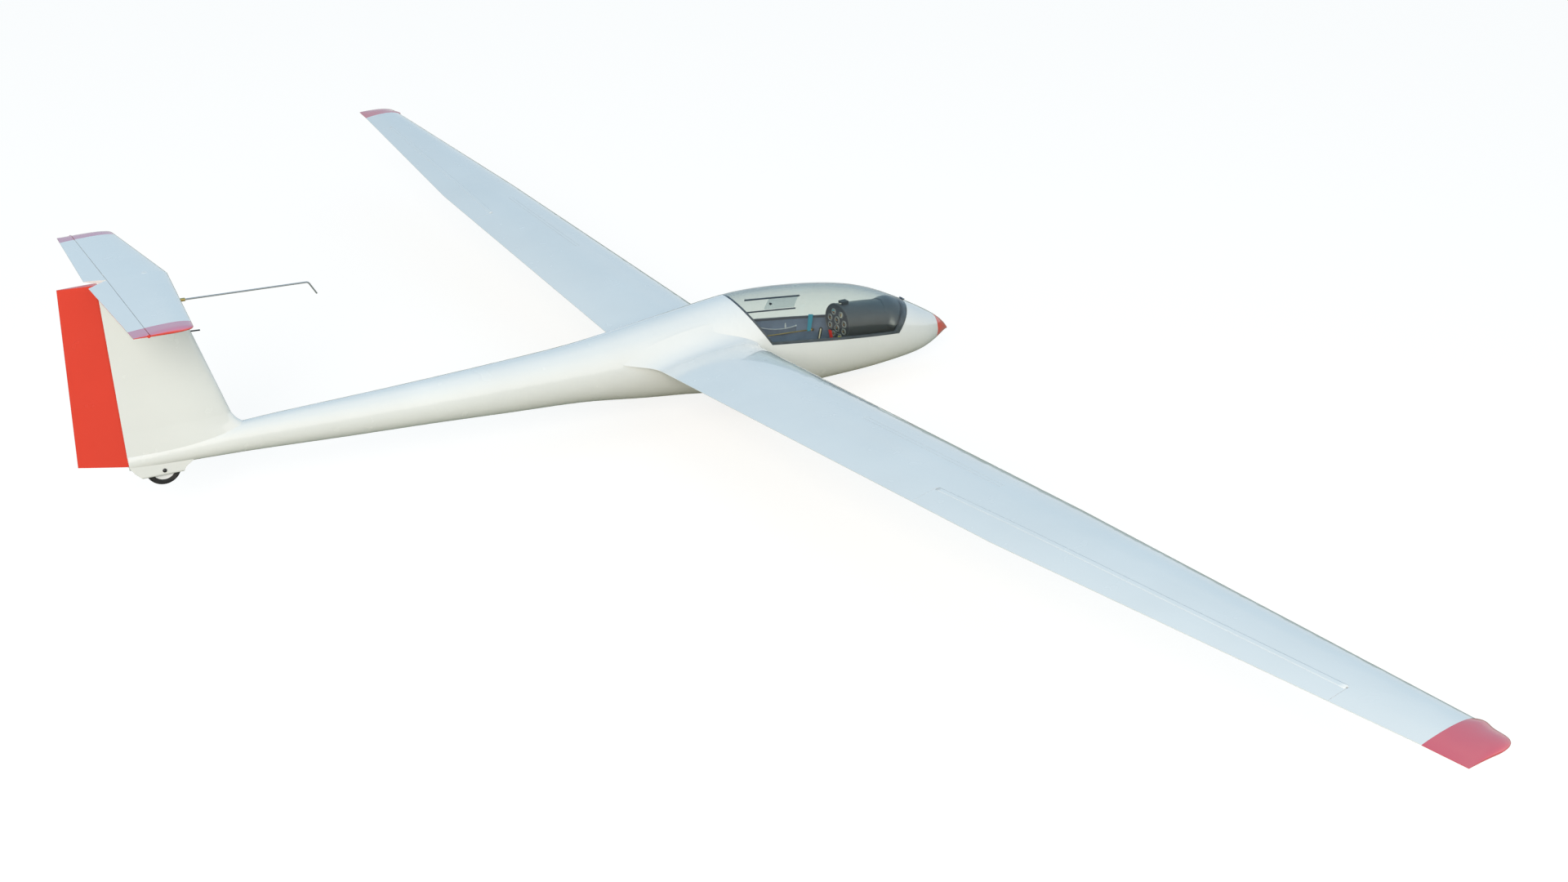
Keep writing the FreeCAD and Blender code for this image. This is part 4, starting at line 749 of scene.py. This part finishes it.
def tyre_profile(rim, outer, half):
    """Rounded cross-section with two circumferential grooves, as a closed loop."""
    wall = outer - rim
    side = [(rim, 0.66 * half), (rim + 0.10 * wall, 0.86 * half), (rim + 0.22 * wall, 0.97 * half),
            (rim + 0.30 * wall, 1.0 * half), (rim + 0.34 * wall, 0.96 * half),
            (rim + 0.50 * wall, 0.97 * half), (outer - 0.28 * wall, 0.93 * half),
            (outer - 0.14 * wall, 0.80 * half), (outer - 0.055 * wall, 0.62 * half),
            (outer - 0.03 * wall, 0.50 * half), (outer - 0.12 * wall, 0.46 * half),
            (outer - 0.12 * wall, 0.36 * half), (outer - 0.008 * wall, 0.32 * half),
            (outer, 0.10 * half)]
    return side + [(radius, -height) for radius, height in reversed(side)]


def build_tyre(node, body, rim):
    """Tyre with two grooves, in place of the plain one of the CAD; rim is its inner radius."""
    low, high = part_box(node)
    centre = (low + high) / 2
    outer, half = (high.z - low.z) / 2 / MM, (high.x - low.x) / 2 / MM
    tyre = Piece()
    tyre.lathe(centre, (1, 0, 0), tyre_profile(rim, outer, half), steps=96, loop=True)
    made = tyre.finish(node + "_grooved", "tyre", body, "tyre_rubber", smooth=35)
    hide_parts(node)


def build_wheel_caps():
    """Black domed nuts on the tail axle, and bolts round the main hub."""
    caps = Piece()
    for side in (-1, 1):
        caps.lathe(place(side * FAIRING_HALF_WIDTH, TAIL_AXLE_Y, TAIL_AXLE_Z), (side, 0, 0),
                   [(3.7, 0.0), (3.7, 1.0), (3.1, 2.0), (1.8, 2.7), (0.4, 2.9)], 28)
    caps.finish("tail_axle_nuts", "black", "airframe", "steel", smooth=50)
    bolts = Piece()
    low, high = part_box("main_hub")
    centre = (low + high) / 2
    for side in (-1, 1):
        for step in range(HUB_BOLTS):
            turn = math.tau * step / HUB_BOLTS
            spot = Vector((side * (high.x - BOLT_INSET * MM),
                           centre.y + BOLT_CIRCLE * MM * math.cos(turn),
                           centre.z + BOLT_CIRCLE * MM * math.sin(turn)))
            bolts.lathe(spot, (side, 0, 0), [(1.6, 0.0), (1.6, 1.4), (0.9, 1.9)], 6)
    bolts.finish("main_hub_bolts", "steel", "main_wheel", "steel", smooth=30)


# ---------------------------------------------------------------- aileron seals

# millimetres aft of the aileron's hinge line
SEAL_OFFSETS = (-6.5, -4.6, -3.5, -2.4, -1.2, 0.0, 0.8, 2.4)
GAP_FRONT, GAP_BACK = -3.9, 1.0
# millimetres
SEAL_THICKNESS = 0.12
# metres
SEAL_LIFT = 0.00009
SEAL_END_GAP = 0.002
PROBE = 0.05


def build_seal(side, upper):
    """Thin flexible strip over the aileron gap, laid over the wing and aileron skins at rest."""
    wing = "left" if side > 0 else "right"
    label = wing + ("_upper" if upper else "_lower")
    joint = next(j for j in frame["joints"] if j["name"] == f"aileron_{wing}_hinge")
    axis = Vector(joint["axis"]).normalized()
    if axis.x * side < 0:
        axis = -axis
    start = Vector(joint["pos_m"])
    aft = (AFT - axis * axis.y).normalized()
    low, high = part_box(f"{wing}_aileron")
    length = (high.x - low.x) / abs(axis.x)
    tree = surfaces(f"{wing}_wing_shell", f"{wing}_aileron")
    down = -1.0 if upper else 1.0

    def skin_z(point):
        hit = tree.ray_cast(point - Vector((0, 0, down * PROBE)), Vector((0, 0, down)), 2 * PROBE)
        return hit[0].z if hit[0] is not None else point.z

    count = 80
    rows = []
    for step in range(count + 1):
        spot = start + axis * (SEAL_END_GAP + (length - 2 * SEAL_END_GAP) * step / count)
        front = skin_z(spot + aft * GAP_FRONT * MM)
        rear = skin_z(spot + aft * GAP_BACK * MM)
        row = []
        for offset in SEAL_OFFSETS:
            point = spot + aft * offset * MM
            if GAP_FRONT < offset < GAP_BACK:
                point.z = between(front, rear, (offset - GAP_FRONT) / (GAP_BACK - GAP_FRONT))
            else:
                point.z = skin_z(point)
            point.z -= down * SEAL_LIFT
            row.append(point)
        rows.append(row)
    strip = Piece()
    strip.skin(rows)
    made = strip.finish("aileron_seal_" + label, "white", None, "white_gelcoat",
                        wall=SEAL_THICKNESS, smooth=60)
    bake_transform(made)


COVER_Y = 1705
ABOVE_TAIL = 400


def build_bolt_cover():
    """Plug over the stabiliser's bolt head."""
    tree = surfaces("stabiliser")
    spots = [place(x, COVER_Y + y, ABOVE_TAIL) for x in (-5, 5) for y in (-5, 5)]
    hits = [tree.ray_cast(spot, Vector((0, 0, -1)), 0.3)[0] for spot in spots]
    height = max(hit.z for hit in hits if hit is not None)
    centre = place(0, COVER_Y, 0)
    centre.z = height
    plug = Piece()
    plug.lathe(centre, (0, 0, 1), [(4.8, -0.6), (4.8, 0.05), (4.5, 0.22), (0.3, 0.3)], 40)
    plug.finish("bolt_cover", "white", "airframe", "white_gelcoat")


build_dials()
half_disc(DIALS[HORIZON_DIAL], -90, 90, "horizon_sky", "turquoise")
half_disc(DIALS[HORIZON_DIAL], 90, 270, "horizon_earth", "brown")
half_disc(DIALS[CREAM_DIAL], 0, 180, "pale_dial_right", "cream")
half_disc(DIALS[CREAM_DIAL], 180, 360, "pale_dial_left", "face")
build_switches()
build_compass_card()
build_rim()
build_flare()
build_pocket()
build_grip_details()
build_tyre("main_tyre", "main_wheel", rim=30.0)
build_tyre("tail_tyre", "tail_wheel", rim=20.0)
build_wheel_caps()
build_bolt_cover()
for wing_side in (1, -1):
    for skin_upper in (True, False):
        build_seal(wing_side, skin_upper)


# ---------------------------------------------------------------- stage, lights, camera

FAR_SIDE = Vector((0.841, -0.541, 0.0))
COOL_SKY = [(0.0, (0.90, 0.95, 0.97)), (0.06, (0.80, 0.90, 0.95)), (0.30, (0.50, 0.70, 0.86)),
            (0.75, (0.31, 0.52, 0.71)), (1.0, (0.27, 0.48, 0.68))]
WARM_SKY = [(0.0, (1.0, 0.96, 0.86)), (0.10, (1.0, 0.97, 0.90)), (0.35, (0.94, 0.94, 0.90)),
            (0.75, (0.58, 0.68, 0.75)), (1.0, (0.27, 0.48, 0.68))]


SKY_STRENGTH = 0.90
CLOUD = (0.92, 0.94, 0.95)
FLOOR_HALF = 60.0
BOUNCE_FLOOR_Z = -0.0005


def sky_ramp(tree, height, stops):
    ramp = tree.nodes.new("ShaderNodeValToRGB")
    tree.links.new(height, ramp.inputs[0])
    elements = ramp.color_ramp.elements
    while len(elements) < len(stops):
        elements.new(0.5)
    for element, (spot, colour) in zip(elements, stops):
        element.position = spot
        element.color = rgba(*colour)
    return ramp.outputs[0]


def sky():
    """Soft light from all round: cool on the far side, warm on the near one, faint clouds."""
    world = bpy.data.worlds.new("studio_sky")
    world.use_nodes = True
    tree = world.node_tree
    nodes = Nodes(tree)
    where = nodes.node("TexCoord").outputs["Generated"]
    height = nodes.node("SeparateXYZ", Vector=where).outputs["Z"]
    towards = nodes.node("VectorMath", operation="DOT_PRODUCT")
    nodes.set(towards, 0, where)
    nodes.set(towards, 1, FAR_SIDE)
    turn = nodes.spread(towards.outputs["Value"], 0.0, 1.0, -0.55, 0.45, curve="SMOOTHSTEP")
    sides = nodes.mix(turn, sky_ramp(tree, height, WARM_SKY), sky_ramp(tree, height, COOL_SKY))
    flattened = nodes.node("Mapping", Vector=where, Scale=(1.0, 1.0, 2.2)).outputs[0]
    cloud = nodes.node("TexNoise", Vector=flattened, Scale=2.2, Detail=3.0).outputs["Fac"]
    colour = nodes.mix(nodes.spread(cloud, 0.0, 0.35, 0.48, 0.70), sides, rgba(*CLOUD))
    nodes.set(tree.nodes["Background"], "Color", colour)
    nodes.set(tree.nodes["Background"], "Strength", SKY_STRENGTH)
    bpy.context.scene.world = world


def floor_plane(name, height):
    mesh = bpy.data.meshes.new(name)
    corners = [(x * FLOOR_HALF, y * FLOOR_HALF, height)
               for x, y in ((-1, -1), (1, -1), (1, 1), (-1, 1))]
    mesh.from_pydata(corners, [], [(0, 1, 2, 3)])
    made = bpy.data.objects.new(name, mesh)
    bpy.context.scene.collection.objects.link(made)
    return made


def floors():
    """Seen floor, bright and pale, and the dimmer warm one whose light the model receives."""
    seen = Paint("floor_pale", (0.34, 0.32, 0.30), 0.9, specular_ior_level=0.0,
                 emission_color=rgba(1.0, 0.99, 0.98), emission_strength=0.78)
    top = floor_plane("floor", 0.0)
    top.data.materials.append(seen.material)
    top.visible_diffuse = False
    top.visible_glossy = False
    warm = Paint("floor_bounce", (0.62, 0.56, 0.40), 0.95, specular_ior_level=0.0)
    bounce = floor_plane("floor_bounce", BOUNCE_FLOOR_Z)
    bounce.data.materials.append(warm.material)
    bounce.visible_camera = False
    bounce.visible_shadow = False


def area_light(name, power, size, where, target, colour):
    data = bpy.data.lights.new(name, "AREA")
    data.shape = "DISK"
    data.size = size
    data.energy = power
    data.color = colour
    lamp = bpy.data.objects.new(name, data)
    lamp.location = where
    lamp.rotation_mode = "QUATERNION"
    lamp.rotation_quaternion = (Vector(target) - Vector(where)).to_track_quat("-Z", "Y")
    bpy.context.scene.collection.objects.link(lamp)


CAMERA_SPOT = Vector((-2.7614, 1.2832, 1.3718))
CAMERA_RIGHT = Vector((-0.53598, -0.84412, 0.01364))
CAMERA_DOWN = Vector((-0.35327, 0.20958, -0.91175))
CAMERA_LENS = 37.7


def camera():
    data = bpy.data.cameras.new("view")
    data.lens = CAMERA_LENS
    data.sensor_width = 36.0
    data.clip_end = 200.0
    eye = bpy.data.objects.new("view", data)
    up = -CAMERA_DOWN
    back = CAMERA_RIGHT.cross(up)
    turn = Matrix((CAMERA_RIGHT, up, back)).transposed()
    eye.matrix_world = Matrix.Translation(CAMERA_SPOT) @ turn.to_4x4()
    bpy.context.scene.collection.objects.link(eye)
    bpy.context.scene.camera = eye


sky()
floors()
area_light("key", power=310.0, size=3.0, where=(-5.5, 3.5, 3.2), target=(0.0, 0.0, 0.2),
           colour=(1.0, 0.96, 0.88))
camera()
bpy.context.scene.view_settings.view_transform = "Standard"
